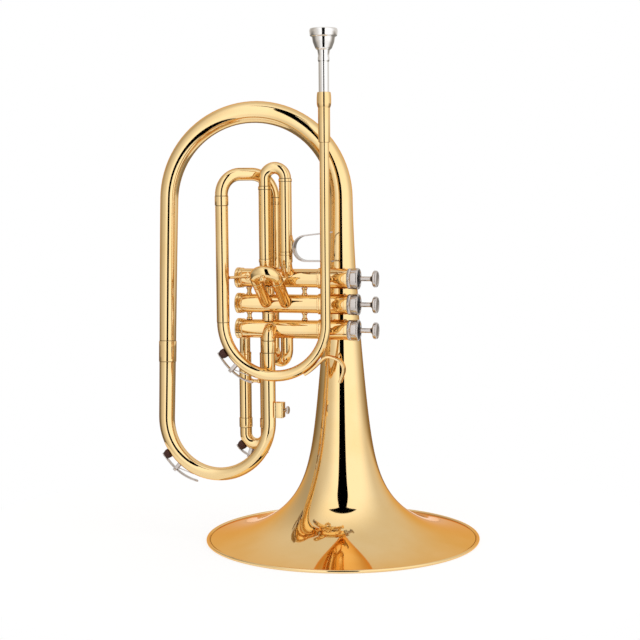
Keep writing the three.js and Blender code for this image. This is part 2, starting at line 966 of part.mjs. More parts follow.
function valves() {
  valveHeights.forEach((height, index) => {
    const number = index + 1;
    piece(`valve_casing_${number}`, "brass", casing(index));
    piece(`top_cap_${number}`, "nickel", topCap(height));
    piece(`bottom_cap_${number}`, "brass", bottomCap(height));
    piece(`valve_piston_${number}`, "nickel", piston(height));
    piece(`valve_guide_${number}`, "nickel", guide(height));
    piece(`valve_spring_${number}`, "steel", spring(height));
    piece(`finger_button_${number}`, "nickel", stemAndButton(height));
  });
  for (const pair of [0, 1]) {
    const upper = valveHeights[pair];
    const lower = valveHeights[pair + 1];
    const link = new Route(vector(portX, valveY, upper), down, knuckleRadius, portTubeBore);
    link.straight(upper - lower);
    const made = cut(tube(link), casingEnvelope(upper), casingEnvelope(lower));
    piece(`knuckle_${pair + 1}_${pair + 2}`, "brass", made);
  }
}

// An elbow out of valve 1's upper side that leans forward or back, then stands a leg upright.
function leaningPort(x, way, offset, lean, bendRadius, outer, inner) {
  const run = (offset - bendRadius * (1 - Math.cos(lean))) / Math.sin(lean);
  const side = axisZ.clone().addScaledVector(way, -Math.cos(lean)).normalize();
  return new Route(vector(x, valveY, valveHeights[0]), way, outer, inner)
    .straight(run)
    .bend(bendRadius, lean, side, elbowSteps);
}

const mouthTop = receiverHigh + mouthReach;
const mouthCollarHeight = mouthTop - mouthCollarDrop;
const mouthCupFoot = mouthTop - mouthCupFootDrop;
const mouthNeckHeight = mouthTop - mouthNeckDrop;
const mouthBeadHeight = mouthTop - mouthBeadDrop;
const mouthShankEnd = receiverHigh - mouthShankDepth;

// Leadpipe, receiver and mouthpiece
function leadpipe() {
  const endX = leadX - 2 * leadLoopRadius;
  const bore = leadTubeRadius - leadWall;
  const route = new Route(vector(leadX, leadY, leadTopHeight), down, leadTopRadius, leadTopRadius - leadWall);
  route.straight(leadTopHeight - leadMiddleHeight, 2);
  route.step(leadMiddleRadius, leadMiddleRadius - leadWall);
  route.stations.splice(-2, 1);
  route.straight(leadMiddleHeight - leadLoopHeight);
  const steps = leadLoopSteps;
  const first = route.stations.length;
  route.bend(leadLoopRadius, halfTurn, axisX.clone().negate(), steps);
  for (let step = 0; step < steps; step += 1) {
    const grown = THREE.MathUtils.lerp(leadMiddleRadius, leadTubeRadius, (step + 1) / steps);
    route.stations[first + step].outer = grown;
    route.stations[first + step].inner = grown - leadWall;
  }
  route.outer = leadTubeRadius;
  route.inner = bore;
  route.straight(leadEndHeight - leadLoopHeight);
  piece("leadpipe", "brass", tube(route));
  return endX;
}

function receiver() {
  const wall = tubeWall;
  const made = turned(
    [
      [leadTopRadius + seatGap, receiverLow],
      [receiverSleeveRadius, receiverLow],
      [receiverSleeveRadius, receiverRing],
      [receiverRingRadius, receiverRing],
      [receiverBarrelRadius, (receiverRing + receiverHigh) / 2],
      [receiverBarrelRadius, receiverHigh - wall * 4],
      [receiverMouthRadius, receiverHigh],
      [mouthShankRadius + seatGap, receiverHigh],
      [mouthShankEndRadius + seatGap, mouthShankEnd - seatGap],
      [leadTopRadius + seatGap, receiverStop],
    ],
    bigTubeSides,
  );
  made.translate(leadX, leadY, 0);
  piece("mouthpiece_receiver", "brass", made);
}

function mouthpiece() {
  const cup = [];
  const cupSteps = 3;
  for (let step = 0; step <= cupSteps; step += 1) {
    const angle = (quarterTurn * step) / cupSteps;
    cup.push([
      mouthThroatRadius + (mouthInnerRadius - mouthThroatRadius) * Math.cos(angle),
      mouthTop - mouthRimRound / 2 - (mouthCupDepth - mouthRimRound / 2) * Math.sin(angle),
    ]);
  }
  const rim = [
    [mouthInnerRadius + mouthRimRound / 2, mouthTop],
    [mouthRimRadius - mouthRimRound, mouthTop],
    [mouthRimRadius - mouthRimRound * 0.3, mouthTop - mouthRimRound * 0.3],
    [mouthRimRadius, mouthTop - mouthRimRound],
    [mouthRimRadius - mouthRimRound * 0.2, mouthCollarHeight + mouthRimRound * 0.3],
    [mouthCupRadius + mouthRimRound * 0.6, mouthCollarHeight],
  ];
  const body = [
    [mouthCupRadius, mouthCollarHeight - mouthRimRound * 0.4],
    [(mouthCupRadius * 2 + mouthCupFootRadius) / 3, (mouthCollarHeight + mouthCupFoot) / 2],
    [mouthCupFootRadius, mouthCupFoot],
    [mouthNeckRadius, mouthNeckHeight],
    [mouthBeadRadius, mouthBeadHeight + mouthRimRound / 2],
    [mouthBeadRadius, mouthBeadHeight - mouthRimRound / 2],
    [mouthShankRadius, mouthBeadHeight - mouthRimRound],
    [mouthShankRadius, receiverHigh],
    [mouthShankEndRadius, mouthShankEnd],
    [mouthBackboreRadius, mouthShankEnd],
  ];
  const made = turned([...rim, ...body, ...cup.reverse()], bigTubeSides);
  made.translate(leadX, leadY, 0);
  piece("mouthpiece", "silver", made);
}

// Main tuning slide: the bow with its two inner legs, and the rear tube it slides in.
function mainSlide(frontX) {
  const front = vector(frontX, leadY, 0);
  const rear = vector(mainRearX, valveY + mainRearOffset, 0);
  const across = rear.clone().sub(front);
  const span = across.length();
  across.normalize();
  const ferruleLow = leadEndHeight + seatGap;
  const bore = mainLegRadius - mainLegWall;
  const ferruleRadius = leadTubeRadius + ferruleGrowth;
  const ferruleSpan = mainFerruleTop - ferruleLow;
  const rearFerruleSpan = mainBowTop - mainRearBend - ferruleLow;
  const route = new Route(front.setZ(ferruleLow - mainLegLength), axisZ, mainLegRadius, bore)
    .straight(mainLegLength)
    .step(ferruleRadius)
    .straight(ferruleSpan)
    .step(leadTubeRadius)
    .straight(mainBowTop - mainFrontBend - mainFerruleTop)
    .bend(mainFrontBend, quarterTurn, across, mainBendSteps)
    .straight(span - mainFrontBend - mainRearBend)
    .bend(mainRearBend, quarterTurn, down, mainBendSteps)
    .step(ferruleRadius)
    .straight(rearFerruleSpan)
    .step(mainLegRadius)
    .straight(mainLegLength);
  piece("main_slide_bow", "brass", tube(route));

  const inlet = leaningPort(
    mainRearX,
    backUp,
    mainRearOffset,
    mainPortLean,
    mainPortBend,
    leadTubeRadius,
    leadTubeRadius - leadWall,
  );
  inlet.straight(leadEndHeight - inlet.at.z);
  piece("inlet_tube", "brass", cut(tube(inlet), casingEnvelope(valveHeights[0])));
}

// First valve slide: two fixed inner tubes, two sleeves with the bow, and the thumb saddle.
function firstSlide() {
  const ferrule = firstSleeveRadius + ferruleGrowth / 2;
  const bore = firstInnerRadius - tubeWall;
  const legY = valveY - firstLegOffset;
  const sleeveLows = [firstLeftSleeveLow, firstRightSleeveLow];
  const sleeveHighs = [firstLeftRing, firstBowHeight];
  ["left", "right"].forEach((name, side) => {
    const legX = firstLegs[side];
    const knuckle = leaningPort(
      legX,
      frontUp,
      firstLegOffset,
      firstPortLean,
      firstPortBend,
      portTubeRadius,
      bore,
    );
    const ferruleSpan = sleeveLows[side] - seatGap - knuckle.at.z;
    knuckle.step(ferrule).straight(ferruleSpan).step(firstInnerRadius);
    knuckle.straight(firstInnerTop - knuckle.at.z);
    piece(`first_slide_inner_${name}`, "brass", cut(tube(knuckle), casingEnvelope(valveHeights[0])));

    const sleeve = new Route(
      vector(legX, legY, sleeveLows[side]),
      axisZ,
      ferrule,
      firstInnerRadius + slideGap,
    )
      .straight(firstRingLength)
      .step(firstSleeveRadius)
      .straight(sleeveHighs[side] - seatGap - sleeveLows[side] - firstRingLength);
    let made = tube(sleeve);
    if (name === "right") {
      const plate = new THREE.Shape();
      const reach = saddleLeftX - seatGap - legX;
      plate.moveTo(0, -firstBracketSpan / 2);
      plate.lineTo(reach, -firstBracketTipSpan / 2);
      plate.lineTo(reach, firstBracketTipSpan / 2);
      plate.lineTo(0, firstBracketSpan / 2);
      const bracket = new THREE.ExtrudeGeometry(plate, { depth: firstBracketWidth, bevelEnabled: false });
      bracket.rotateX(quarterTurn);
      bracket.translate(legX, legY + firstBracketWidth / 2, firstBracketHeight);
      const hollow = bar(
        vector(legX, legY, firstBracketHeight - firstBracketSpan),
        vector(legX, legY, firstBracketHeight + firstBracketSpan),
        firstSleeveRadius - tubeWall / 2,
        tubeSides,
      );
      made = join(made, cut(bracket, hollow));
    }
    piece(`first_slide_sleeve_${name}`, "brass", made);
  });

  const rise = firstBowHeight + firstRingLength - firstLeftRing;
  const bow = new Route(vector(firstLegs[0], legY, firstLeftRing), axisZ, ferrule, bore)
    .straight(firstRingLength)
    .step(firstBowTubeRadius)
    .straight(rise - firstRingLength)
    .bend(firstLegPitch / 2, halfTurn, axisX, slideBowSteps)
    .step(ferrule)
    .straight(firstRingLength - seatGap);
  piece("first_slide_bow", "brass", tube(bow));

  const bendRadius = saddleRadius + saddleThickness / 2;
  const bendCentre = vector(saddleLeftX + saddleThickness / 2 + bendRadius, legY, saddleHeight);
  const lip = vector(Math.cos(saddleSplay), 0, Math.sin(saddleSplay));
  const inward = vector(lip.z, 0, -lip.x);
  const lipEnd = bendCentre.addScaledVector(inward, -bendRadius).addScaledVector(lip, saddleReach);
  const saddle = new Route(lipEnd, lip.negate(), 0, 0)
    .straight(saddleReach)
    .bend(bendRadius, halfTurn - saddleSplay, inward, slideBowSteps)
    .straight(saddleReach);
  piece("thumb_saddle", "nickel", strip(saddle, saddleWidth, saddleThickness));
}

// The room that a knuckle between two valves takes.
function knuckleTool(pair) {
  const from = vector(portX, valveY, valveHeights[pair]);
  const to = vector(portX, valveY, valveHeights[pair + 1]);
  return bar(from, to, knuckleRadius + seatGap, bigTubeSides);
}

// A port out of valve 2's front, with the elbow that turns it up along the second slide.
function secondElbow(x, height) {
  const side = axisZ.clone().addScaledVector(secondPort, -Math.sin(secondPortRise)).normalize();
  const start = vector(x, valveY, height);
  return new Route(start, secondPort, secondTubeRadius, secondInnerRadius + slideGap)
    .straight(secondPortRun)
    .bend(secondPortBend, secondRise - secondPortRise, side, elbowSteps);
}

// Second valve slide: two short fixed tubes and a bow that pulls out along its own legs.
function secondSlide() {
  const height = valveHeights[1];
  const bore = secondInnerRadius - tubeWall;
  ["left", "right"].forEach((name, side) => {
    const outer = secondElbow(secondLegs[side], height).straight(secondTubeEnd);
    const made = cut(tube(outer), casingEnvelope(height), knuckleTool(0));
    piece(`second_slide_tube_${name}`, "brass", made);
  });
  const foot = secondElbow(secondLegs[0], height).at;
  const start = foot.clone().addScaledVector(secondWay, secondInnerStart);
  const ferruleStart = secondTubeEnd + seatGap;
  const route = new Route(start, secondWay, secondInnerRadius, bore)
    .straight(ferruleStart - secondInnerStart)
    .step(secondTubeRadius)
    .straight((secondBowStart - ferruleStart) / 2)
    .step(secondBowTubeRadius)
    .straight((secondBowStart - ferruleStart) / 2)
    .bend(secondLegPitch / 2, halfTurn, axisX, slideBowSteps)
    .straight((secondBowStart - ferruleStart) / 2)
    .step(secondTubeRadius)
    .straight((secondBowStart - ferruleStart) / 2)
    .step(secondInnerRadius)
    .straight(ferruleStart - secondInnerStart);
  const crown = vector(secondMiddleX, foot.y, foot.z).addScaledVector(
    secondWay,
    secondBowStart + secondLegPitch / 2,
  );
  const under = axisX.clone().cross(secondWay).normalize();
  const knobBase = crown.clone().addScaledVector(under, secondBowTubeRadius - tubeWall / 2);
  const knobEnd = crown.clone().addScaledVector(under, secondBowTubeRadius + secondKnobRadius);
  const ball = new THREE.SphereGeometry(secondKnobRadius, rodSides, rodSides / 2);
  ball.translate(knobEnd.x, knobEnd.y, knobEnd.z);
  const neck = bar(knobBase, knobEnd, secondKnobNeck);
  piece("second_slide_bow", "brass", join(tube(route), neck, ball));
}

// Third valve slide: two fixed inner tubes, two sleeves and the bow, pointing down.
function thirdSlide() {
  const height = valveHeights[2];
  const bore = thirdInnerRadius - tubeWall;
  const sleeveLow = thirdFerruleHigh + seatGap;
  ["left", "right"].forEach((name, side) => {
    const start = vector(thirdLegs[side], valveY, height);
    const inner = new Route(start, down, thirdInnerRadius, bore).straight(height - thirdInnerEnd);
    piece(`third_slide_inner_${name}`, "brass", cut(tube(inner), casingEnvelope(height)));
    const sleeve = new Route(
      vector(thirdLegs[side], valveY, thirdSleeveHigh),
      down,
      thirdSleeveRadius,
      thirdInnerRadius + slideGap,
    ).straight(thirdSleeveHigh - sleeveLow);
    let made = tube(sleeve);
    if (name === "left") {
      const reach = thirdSleeveRadius - tubeWall / 2;
      const from = vector(thirdLegs[0] + reach, valveY, thirdSleeveHigh - thirdBraceDrop);
      const to = vector(thirdLegs[1] - thirdSleeveRadius - seatGap, valveY, thirdSleeveHigh - thirdBraceDrop);
      made = join(made, bar(from, to, thirdBraceRadius));
    }
    piece(`third_slide_sleeve_${name}`, "brass", made);
  });
  const ferrule = thirdSleeveRadius + ferruleGrowth / 2;
  const bow = new Route(vector(thirdLegs[0], valveY, thirdFerruleHigh), down, ferrule, bore)
    .straight(thirdFerruleHigh - thirdFerruleLow)
    .step(thirdBowTubeRadius)
    .straight(thirdFerruleLow - thirdBowHeight)
    .bend(thirdLegPitch / 2, halfTurn, axisX, slideBowSteps)
    .straight(thirdFerruleLow - thirdBowHeight)
    .step(ferrule)
    .straight(thirdFerruleHigh - thirdFerruleLow);
  piece("third_slide_bow", "brass", tube(bow));
}

// The exit elbow out of valve 3's front, with the ferrule that takes the lower bow.
function exitElbow() {
  const height = valveHeights[2];
  const forward = axisY.clone().negate();
  const run = valveY - exitTubeY - exitElbowRadius;
  const ferruleHigh = exitTubeTop + seatGap + exitFerruleLength;
  const route = new Route(vector(exitTubeX, valveY, height), forward, exitTubeRadius, portTubeBore)
    .straight(run)
    .bend(exitElbowRadius, quarterTurn, down, elbowSteps);
  route
    .straight(Math.max(0, route.at.z - ferruleHigh) + seatGap)
    .step(exitTubeRadius + ferruleGrowth)
    .straight(route.at.z - exitTubeTop - seatGap);
  piece("exit_elbow", "brass", cut(tube(route), casingEnvelope(height)));
}

// The crossover bow out of valve 2's back, down behind valve 3 and up into its underside.
function crossover() {
  const high = valveHeights[1];
  const low = valveHeights[2];
  const left = vector(crossLeftX, crossLeftY, crossHeight);
  const right = vector(crossRightX, crossRightY, crossHeight);
  const across = right.clone().sub(left);
  const bore = crossTubeRadius - tubeWall;
  const route = new Route(vector(crossLeftX, valveY, high), axisY, crossTubeRadius, bore)
    .straight(crossLeftY - crossElbowRadius - valveY)
    .bend(crossElbowRadius, quarterTurn, down, elbowSteps);
  route
    .straight(route.at.z - crossHeight)
    .bend(across.length() / 2, halfTurn, across.clone().normalize(), slideBowSteps)
    .straight(low - crossHeight);
  piece("crossover_bow", "brass", cut(tube(route), casingEnvelope(high), casingEnvelope(low)));
}

// The brace from the leadpipe's far leg to valve 1, with its diamond foot on the casing.
function leadBrace(legX) {
  const height = valveHeights[0] + braceRodRise;
  const start = vector(legX, leadY, height);
  const footY = valveY - casingRadius - seatGap;
  const end = vector(braceFootX, footY - braceRodRadius / 2, height);
  const diamond = new THREE.Shape();
  diamond.moveTo(-braceFootSpan / 2, 0);
  diamond.lineTo(0, -braceFootHeight / 2);
  diamond.lineTo(braceFootSpan / 2, 0);
  diamond.lineTo(0, braceFootHeight / 2);
  const foot = new THREE.ExtrudeGeometry(diamond, {
    depth: braceFootThickness + casingRadius / 2,
    bevelEnabled: false,
  });
  foot.rotateX(quarterTurn);
  foot.translate(braceFootX, footY + casingRadius / 2, height);
  const leg = bar(
    vector(legX, leadY, height - braceFootHeight),
    vector(legX, leadY, height + braceFootHeight),
    leadTubeRadius + seatGap,
    tubeSides,
  );
  const made = join(bar(start, end, braceRodRadius), foot);
  piece("leadpipe_brace", "brass", cut(made, leg, casingEnvelope(valveHeights[0])));
}

// The hook for the little finger, soldered along the leadpipe's loop and curled at its end.
function pinkyHook() {
  const centre = vector(leadX - leadLoopRadius, leadY, leadLoopHeight);
  const localTube = THREE.MathUtils.lerp(leadMiddleRadius, leadTubeRadius, -hookStartAngle / halfTurn);
  const reach = leadLoopRadius + localTube + seatGap / 2 + hookThickness / 2;
  const outward = vector(Math.cos(hookStartAngle), 0, Math.sin(hookStartAngle));
  const along = vector(-Math.sin(hookStartAngle), 0, Math.cos(hookStartAngle));
  const start = centre.clone().addScaledVector(outward, reach);
  const route = new Route(start, along, 0, 0);
  const rightOf = (way) => way.clone().cross(axisY).negate();
  route
    .bend(reach, hookLeaveAngle - hookStartAngle, outward.clone().negate(), 2)
    .straight(hookRun);
  route
    .bend(hookCrestRadius, hookCrestTurn, rightOf(route.along), elbowSteps)
    .straight(hookShoulder);
  route.bend(hookCurlRadius, hookCurlTurn, rightOf(route.along), elbowSteps + 2).straight(hookTip);
  piece("pinky_hook", "brass", strip(route, hookWidth, hookThickness));
}

// The lyre box on the exit tube, with a slot down through it and a thumbscrew from the side.
function lyreBox() {
  const left = exitTubeX;
  const right = exitTubeX + exitTubeRadius + seatGap + lyreWidth;
  const middleY = exitTubeY;
  const block = box(
    vector(left, middleY - lyreDepth / 2, lyreLow),
    vector(right, middleY + lyreDepth / 2, lyreTop),
  );
  const slotMiddle = right - lyreWidth / 2;
  const slot = box(
    vector(slotMiddle - lyreSlotWidth / 2, middleY - lyreSlotDepth / 2, lyreLow - cutOverrun),
    vector(slotMiddle + lyreSlotWidth / 2, middleY + lyreSlotDepth / 2, lyreTop + cutOverrun),
  );
  const pipe = bar(
    vector(exitTubeX, exitTubeY, lyreLow - cutOverrun),
    vector(exitTubeX, exitTubeY, lyreTop + cutOverrun),
    exitTubeRadius + seatGap,
    bigTubeSides,
  );
  const height = (lyreTop + lyreLow) / 2;
  const hole = bar(
    vector(slotMiddle, middleY, height),
    vector(right + cutOverrun, middleY, height),
    lyreScrewRadius + seatGap,
  );
  piece("lyre_box", "brass", cut(block, slot, pipe, hole));

  const tip = slotMiddle + lyreSlotWidth / 2 + seatGap;
  const headStart = right + lyreHeadStandoff;
  const screw = new Route(vector(tip, middleY, height), axisX, lyreScrewRadius, 0)
    .straight(headStart - tip)
    .step(lyreHeadRadius)
    .straight(lyreHeadLength);
  piece("lyre_screw", "nickel", rod(screw, 12));
}

// A water key on the outside of a bow: a post whose pin the lever rocks on, the lever, which
// follows the bow, and the cork under its end. Angles are in the XZ plane, from +X towards +Z.
function waterKey(name, bow, angles, thumbRise) {
  const { centre, radius, tubeRadius } = bow;
  const surface = radius + tubeRadius;
  const leverRadius = surface + keyLift;
  const outwardAt = (angle) => vector(Math.cos(angle), 0, Math.sin(angle));
  const spot = (angle, reach, y = 0) =>
    centre.clone().addScaledVector(outwardAt(angle), reach).add(vector(0, y, 0));
  const halfWidth = keyWidth / 2;
  const pinReach = halfWidth + keyEarThickness + seatGap;
  const pinHole = keyPinRadius + seatGap / 2;

  const outward = outwardAt(angles.pivot);
  const upright = leverRadius - surface + tubeRadius / 2 + keyBarrelRadius;
  const ears = [-1, 1].map((side) => {
    const y = side * (halfWidth + seatGap + keyEarThickness / 2);
    const ear = new Route(spot(angles.pivot, surface - tubeRadius / 2, y), outward, 0, 0);
    return strip(ear.straight(upright), keyEarThickness, 2 * keyBarrelRadius);
  });
  const pin = bar(
    spot(angles.pivot, leverRadius, -pinReach),
    spot(angles.pivot, leverRadius, pinReach),
    keyPinRadius,
  );
  const plate = new Route(spot(angles.pivot, surface - tubeRadius / 2), outward, 0, 0);
  plate.straight(tubeRadius / 2 + seatGap + keyThickness / 2);
  const base = strip(plate, 2 * pinReach, 2 * keyBarrelRadius);
  piece(`${name}_post`, "brass", cut(join(...ears, pin, base), bow.room()));

  const start = angles.cork - keyCorkRadius / leverRadius;
  const sweep = angles.thumb - start;
  const arm = new Route(
    spot(start, leverRadius),
    outwardAt(start + quarterTurn),
    0,
    0,
  ).bend(leverRadius, sweep, outwardAt(start).negate(), slideBowSteps);
  for (const station of arm.stations) {
    const share = Math.max(0, station.length / arm.length - keyRiseShare) / (1 - keyRiseShare);
    const away = station.point.clone().sub(centre).setY(0).normalize();
    station.point.addScaledVector(away, share * share * thumbRise);
  }
  const barrel = bar(
    spot(angles.pivot, leverRadius, -halfWidth),
    spot(angles.pivot, leverRadius, halfWidth),
    keyBarrelRadius,
  );
  const hole = bar(
    spot(angles.pivot, leverRadius, -halfWidth - cutOverrun),
    spot(angles.pivot, leverRadius, halfWidth + cutOverrun),
    pinHole,
  );
  const tipReach = leverRadius + thumbRise;
  const thumb = bar(
    spot(angles.thumb, tipReach - keyThumbThickness / 2),
    spot(angles.thumb, tipReach + keyThumbThickness / 2),
    keyThumbRadius,
    tubeSides,
  );
  piece(`${name}_lever`, "nickel", cut(join(strip(arm, keyWidth, keyThickness), barrel, thumb), hole));

  const corkLow = spot(angles.cork, surface + seatGap);
  const corkHigh = spot(angles.cork, leverRadius - keyThickness / 2 - 2 * seatGap);
  piece(`${name}_cork`, "cork", bar(corkLow, corkHigh, keyCorkRadius, tubeSides));
}

// A level bow as a water key sees it: its centre, its radius, its tube and the room that takes.
function keyBow(centre, radius, tubeRadius) {
  const room = () => {
    const across = axisX.clone().negate();
    const start = centre.clone().addScaledVector(axisX, radius);
    const route = new Route(start, down, tubeRadius + seatGap, 0);
    return rod(route.bend(radius, halfTurn, across, lowerBowSteps), bigTubeSides);
  };
  return { centre, radius, tubeRadius, room };
}

// The lower bow swings back and grows as it goes, so its key takes its place from the loop's.
function lowerKeyBow(angle) {
  const length = loopStraight + lowerBowRadius * (fullTurn - angle);
  const centre = vector(exitTubeX - lowerBowRadius, loopY(length), lowerBowHeight);
  const room = () => {
    const route = new Route(vector(exitTubeX, exitTubeY, exitTubeTop), down, exitTubeRadius, 0)
      .straight(loopStraight)
      .bend(lowerBowRadius, halfTurn, axisX.clone().negate(), lowerBowSteps);
    swungIntoPlace(route);
    for (const station of route.stations) station.outer += seatGap;
    return rod(route, bigTubeSides);
  };
  return { centre, radius: lowerBowRadius, tubeRadius: loopRadius(length), room };
}

// Assembly
piece("bell", "brass", bell());
bigLoop();
valves();
const leadEndX = leadpipe();
receiver();
mouthpiece();
mainSlide(leadEndX);
firstSlide();
secondSlide();
thirdSlide();
exitElbow();
crossover();
leadBrace(leadEndX);
pinkyHook();
lyreBox();

const [bowKey, leadKey, thirdKey] = keyPlaces.map((places) => {
  const [cork, pivot, thumb] = places.map(THREE.MathUtils.degToRad);
  return { cork, pivot, thumb };
});
waterKey("bow_key", lowerKeyBow(bowKey.cork), bowKey, keyThumbRise);
const leadCentre = vector(leadX - leadLoopRadius, leadY, leadLoopHeight);
waterKey("lead_key", keyBow(leadCentre, leadLoopRadius, leadTubeRadius), leadKey, keyThumbRise);
const thirdCentre = vector(thirdMiddleX, valveY, thirdBowHeight);
waterKey(
  "third_key",
  keyBow(thirdCentre, thirdLegPitch / 2, thirdBowTubeRadius),
  thirdKey,
  keyThumbRise / 2,
);

// The origin is the middle of the ground that the instrument covers, at the rim's level.
const ground = new THREE.Box3().setFromObject(group);
const middle = ground.getCenter(new THREE.Vector3());
group.position.set(-middle.x, -middle.y, -ground.min.z);
group.updateMatrixWorld(true);

export default group;
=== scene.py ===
"""A bell-front mellophone in lacquered brass, standing on its bell.

Shapes are modelled in millimetres round the bell's own axis, with Z up and zero a little
under the rim, and are placed in the row frame, in metres, when each piece is finished.
"""
from math import atan2, ceil, cos, hypot, pi, radians, sin

import bmesh
import bpy
from bpy.props import FloatProperty, FloatVectorProperty, IntProperty, PointerProperty
from mathutils import Matrix, Quaternion, Vector


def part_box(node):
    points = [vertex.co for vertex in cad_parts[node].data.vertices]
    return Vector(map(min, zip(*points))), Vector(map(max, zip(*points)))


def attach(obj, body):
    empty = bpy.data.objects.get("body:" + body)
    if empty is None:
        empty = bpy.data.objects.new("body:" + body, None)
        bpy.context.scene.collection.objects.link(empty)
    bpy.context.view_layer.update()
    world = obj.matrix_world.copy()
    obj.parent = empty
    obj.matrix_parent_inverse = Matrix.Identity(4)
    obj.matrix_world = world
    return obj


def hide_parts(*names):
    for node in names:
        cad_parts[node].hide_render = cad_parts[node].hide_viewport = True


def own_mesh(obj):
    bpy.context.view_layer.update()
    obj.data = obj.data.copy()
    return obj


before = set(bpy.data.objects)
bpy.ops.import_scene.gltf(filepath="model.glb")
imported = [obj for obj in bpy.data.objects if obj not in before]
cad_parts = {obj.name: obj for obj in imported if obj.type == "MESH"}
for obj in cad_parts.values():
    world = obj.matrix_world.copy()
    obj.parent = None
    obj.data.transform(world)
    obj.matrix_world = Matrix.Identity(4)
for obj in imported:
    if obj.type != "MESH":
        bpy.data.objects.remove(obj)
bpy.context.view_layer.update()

bl_info = {
    "name": "Bell-front mellophone",
    "version": (1, 0, 0),
    "blender": (4, 5, 0),
    "location": "View3D > Sidebar > Mellophone",
    "description": "Builds a bell-front mellophone with its valves, slides and fittings",
    "category": "Add Mesh",
}

MM = 0.001
FULL_TURN = 2 * pi
HALF_TURN = pi
QUARTER_TURN = pi / 2
X = Vector((1, 0, 0))
Y = Vector((0, 1, 0))
Z = Vector((0, 0, 1))
DOWN = -Z
FRONT = -Y
LEFT = -X

# Where the bell stands
RIM_HEIGHT = 1.8
BELL_LOW, BELL_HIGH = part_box("bell")
BELL_MIDDLE = (BELL_LOW + BELL_HIGH) / 2
ORIGIN = Vector((BELL_MIDDLE.x, BELL_MIDDLE.y, BELL_LOW.z - RIM_HEIGHT * MM))
TO_ROW = Matrix.Translation(ORIGIN) @ Matrix.Scale(MM, 4)

# Fits and walls
SEAT_GAP = 0.15
SLIDE_GAP = 0.25
TUBE_WALL = 0.55
LOOP_WALL = 0.7
EDGE = 0.2
SEAM_DEPTH, SEAM_WIDTH, SEAM_LEAST = 0.3, 0.5, 0.32
SPIGOT_DEPTH, SPIGOT_LENGTH = 0.75, 1.2
# Bands of painted shade round the joints: their width and how far they stand off the tube
LINE_WIDTH, LINE_LIFT = 0.55, 0.04
CREASE = radians(32)

# Smoothness
BEND_STEP = radians(4)
TUBE_SIDES, LOOP_SIDES, TURNED_SIDES, ROD_SIDES = 48, 64, 64, 24
BELL_SIDES, BELL_RINGS, BELL_RING_POWER = 160, 90, 2.6

# Bell and big loop
BELL_JOINT = 230
BELL_SPRING = 325.8
STEM_RADIUS = 11.2
# The bead's radius and where its roll starts, and the width of the painted shade inside it
BEAD_RADIUS, BEAD_START, BEAD_LINE = 1.6, radians(165), 0.9
BELL_WALL = 0.8
THROAT_SHARE, THROAT_POWER = 0.2325, 1.52
FLARE_SHARE, FLARE_POWER = 0.605, 12.5
LIP_POWER = 70
EXIT_RADIUS = 6.1
EXIT_X, EXIT_Y, EXIT_TOP = -57.8, -47, 184.6
LOWER_BOW_RADIUS = 52
LOWER_BOW_HEIGHT = 120
LEG_LOW_RADIUS, LEG_HIGH_RADIUS = 7.5, 8.6
LEG_SPLAY = 2.2
CROWN_RADIUS = 10.2
LEG_FERRULE = (172, 191)
LEG_FERRULE_GROWTH = 0.45
STEM_FERRULE = 16
FERRULE_GROWTH = 0.7

# Valves
VALVE_Y = -32
VALVE_MIDDLE = 228.7
VALVE_PITCH = 23.75
VALVE_HEIGHTS = [VALVE_MIDDLE + place * VALVE_PITCH for place in (1, 0, -1)]
CASING_RADIUS = 8.6
SLEEVE_RADIUS = 9.1
CASING_BORE = 7.9
CASING_BOTTOM, CASING_TOP = -89, 14.9
CASING_STEP = -13.3
FOOT_RADIUS, FOOT_LENGTH = 9.3, 3
CASING_BEAD, CASING_BEAD_WIDTH, CASING_GROOVE = 0.5, 1.6, 0.25
CAP_LENGTH = 10
CAP_RADIUS, CAP_NECK, CAP_FACE = 9.9, 9.4, 8.3
CAP_WALL, CAP_DISH = 2, 1.6
# The black ring of painted shade in each top cap's dish: its hole and thickness
SHADE_RING_HOLE, SHADE_RING_THICKNESS = 3, 0.9
STEM_HOLE = 2.7
BOTTOM_CAP_LENGTH = 3.5
BOTTOM_CAP_RADIUS = 9.5
BOTTOM_VENT = 1.6
BOTTOM_KNOB_RADIUS, BOTTOM_KNOB_LENGTH = 3.4, 1.2
VALVE_STEM_RADIUS = 2.2
BUTTON_RADIUS, BUTTON_THICKNESS = 7.7, 4.3
BUTTON_FACE = 42.4
PISTON_RADIUS = 7.5
FELT_RADIUS, FELT_THICKNESS = 6, 2.5
STEM_BASE = 2
SPRING_START, SPRING_RADIUS, SPRING_WIRE = -20.7, 4.4, 0.5
SPRING_TURNS, SPRING_STEPS = 9, 20

# Tubes that meet the valves
PORT_X = -62
PORT_START, PORT_FOOT = CASING_RADIUS - 0.8, CASING_RADIUS - 0.4
KNUCKLE_RADIUS = 5.9
PORT_RADIUS = 5.6
CROSS_RIGHT, CROSS_LEFT = Vector((-45, -30, 186.2)), Vector((-63, -14, 186.2))
CROSS_RADIUS, CROSS_ELBOW = 5.8, 9
EXIT_ELBOW = 9
EXIT_FERRULE = 10.6

# Leadpipe, receiver and mouthpiece
LEAD_X, LEAD_Y = 0.3, -60
LEAD_TOP, LEAD_MIDDLE = 392, 270
LEAD_TOP_RADIUS, LEAD_MIDDLE_RADIUS, LEAD_RADIUS = 4.3, 4.6, 5.9
LEAD_LOOP, LEAD_LOOP_HEIGHT = 48.7, 213.3
LEAD_END = 320
RECEIVER_LOW, RECEIVER_RING, RECEIVER_HIGH = 376.3, 407.4, 420.7
RECEIVER_SLEEVE, RECEIVER_BARREL, RECEIVER_MOUTH = 5.4, 6.5, 6
MOUTH_TOP = 476.8
MOUTH_RIM_RADIUS, MOUTH_RIM_ROUND, MOUTH_INNER = 12.7, 2.4, 8.3
MOUTH_CUP_DEPTH, MOUTH_CUP_STEPS = 12.5, 16
MOUTH_COLLAR, MOUTH_CUP_FOOT = 469.3, 458.6
MOUTH_CUP_RADIUS, MOUTH_FOOT_RADIUS = 10.2, 6.3
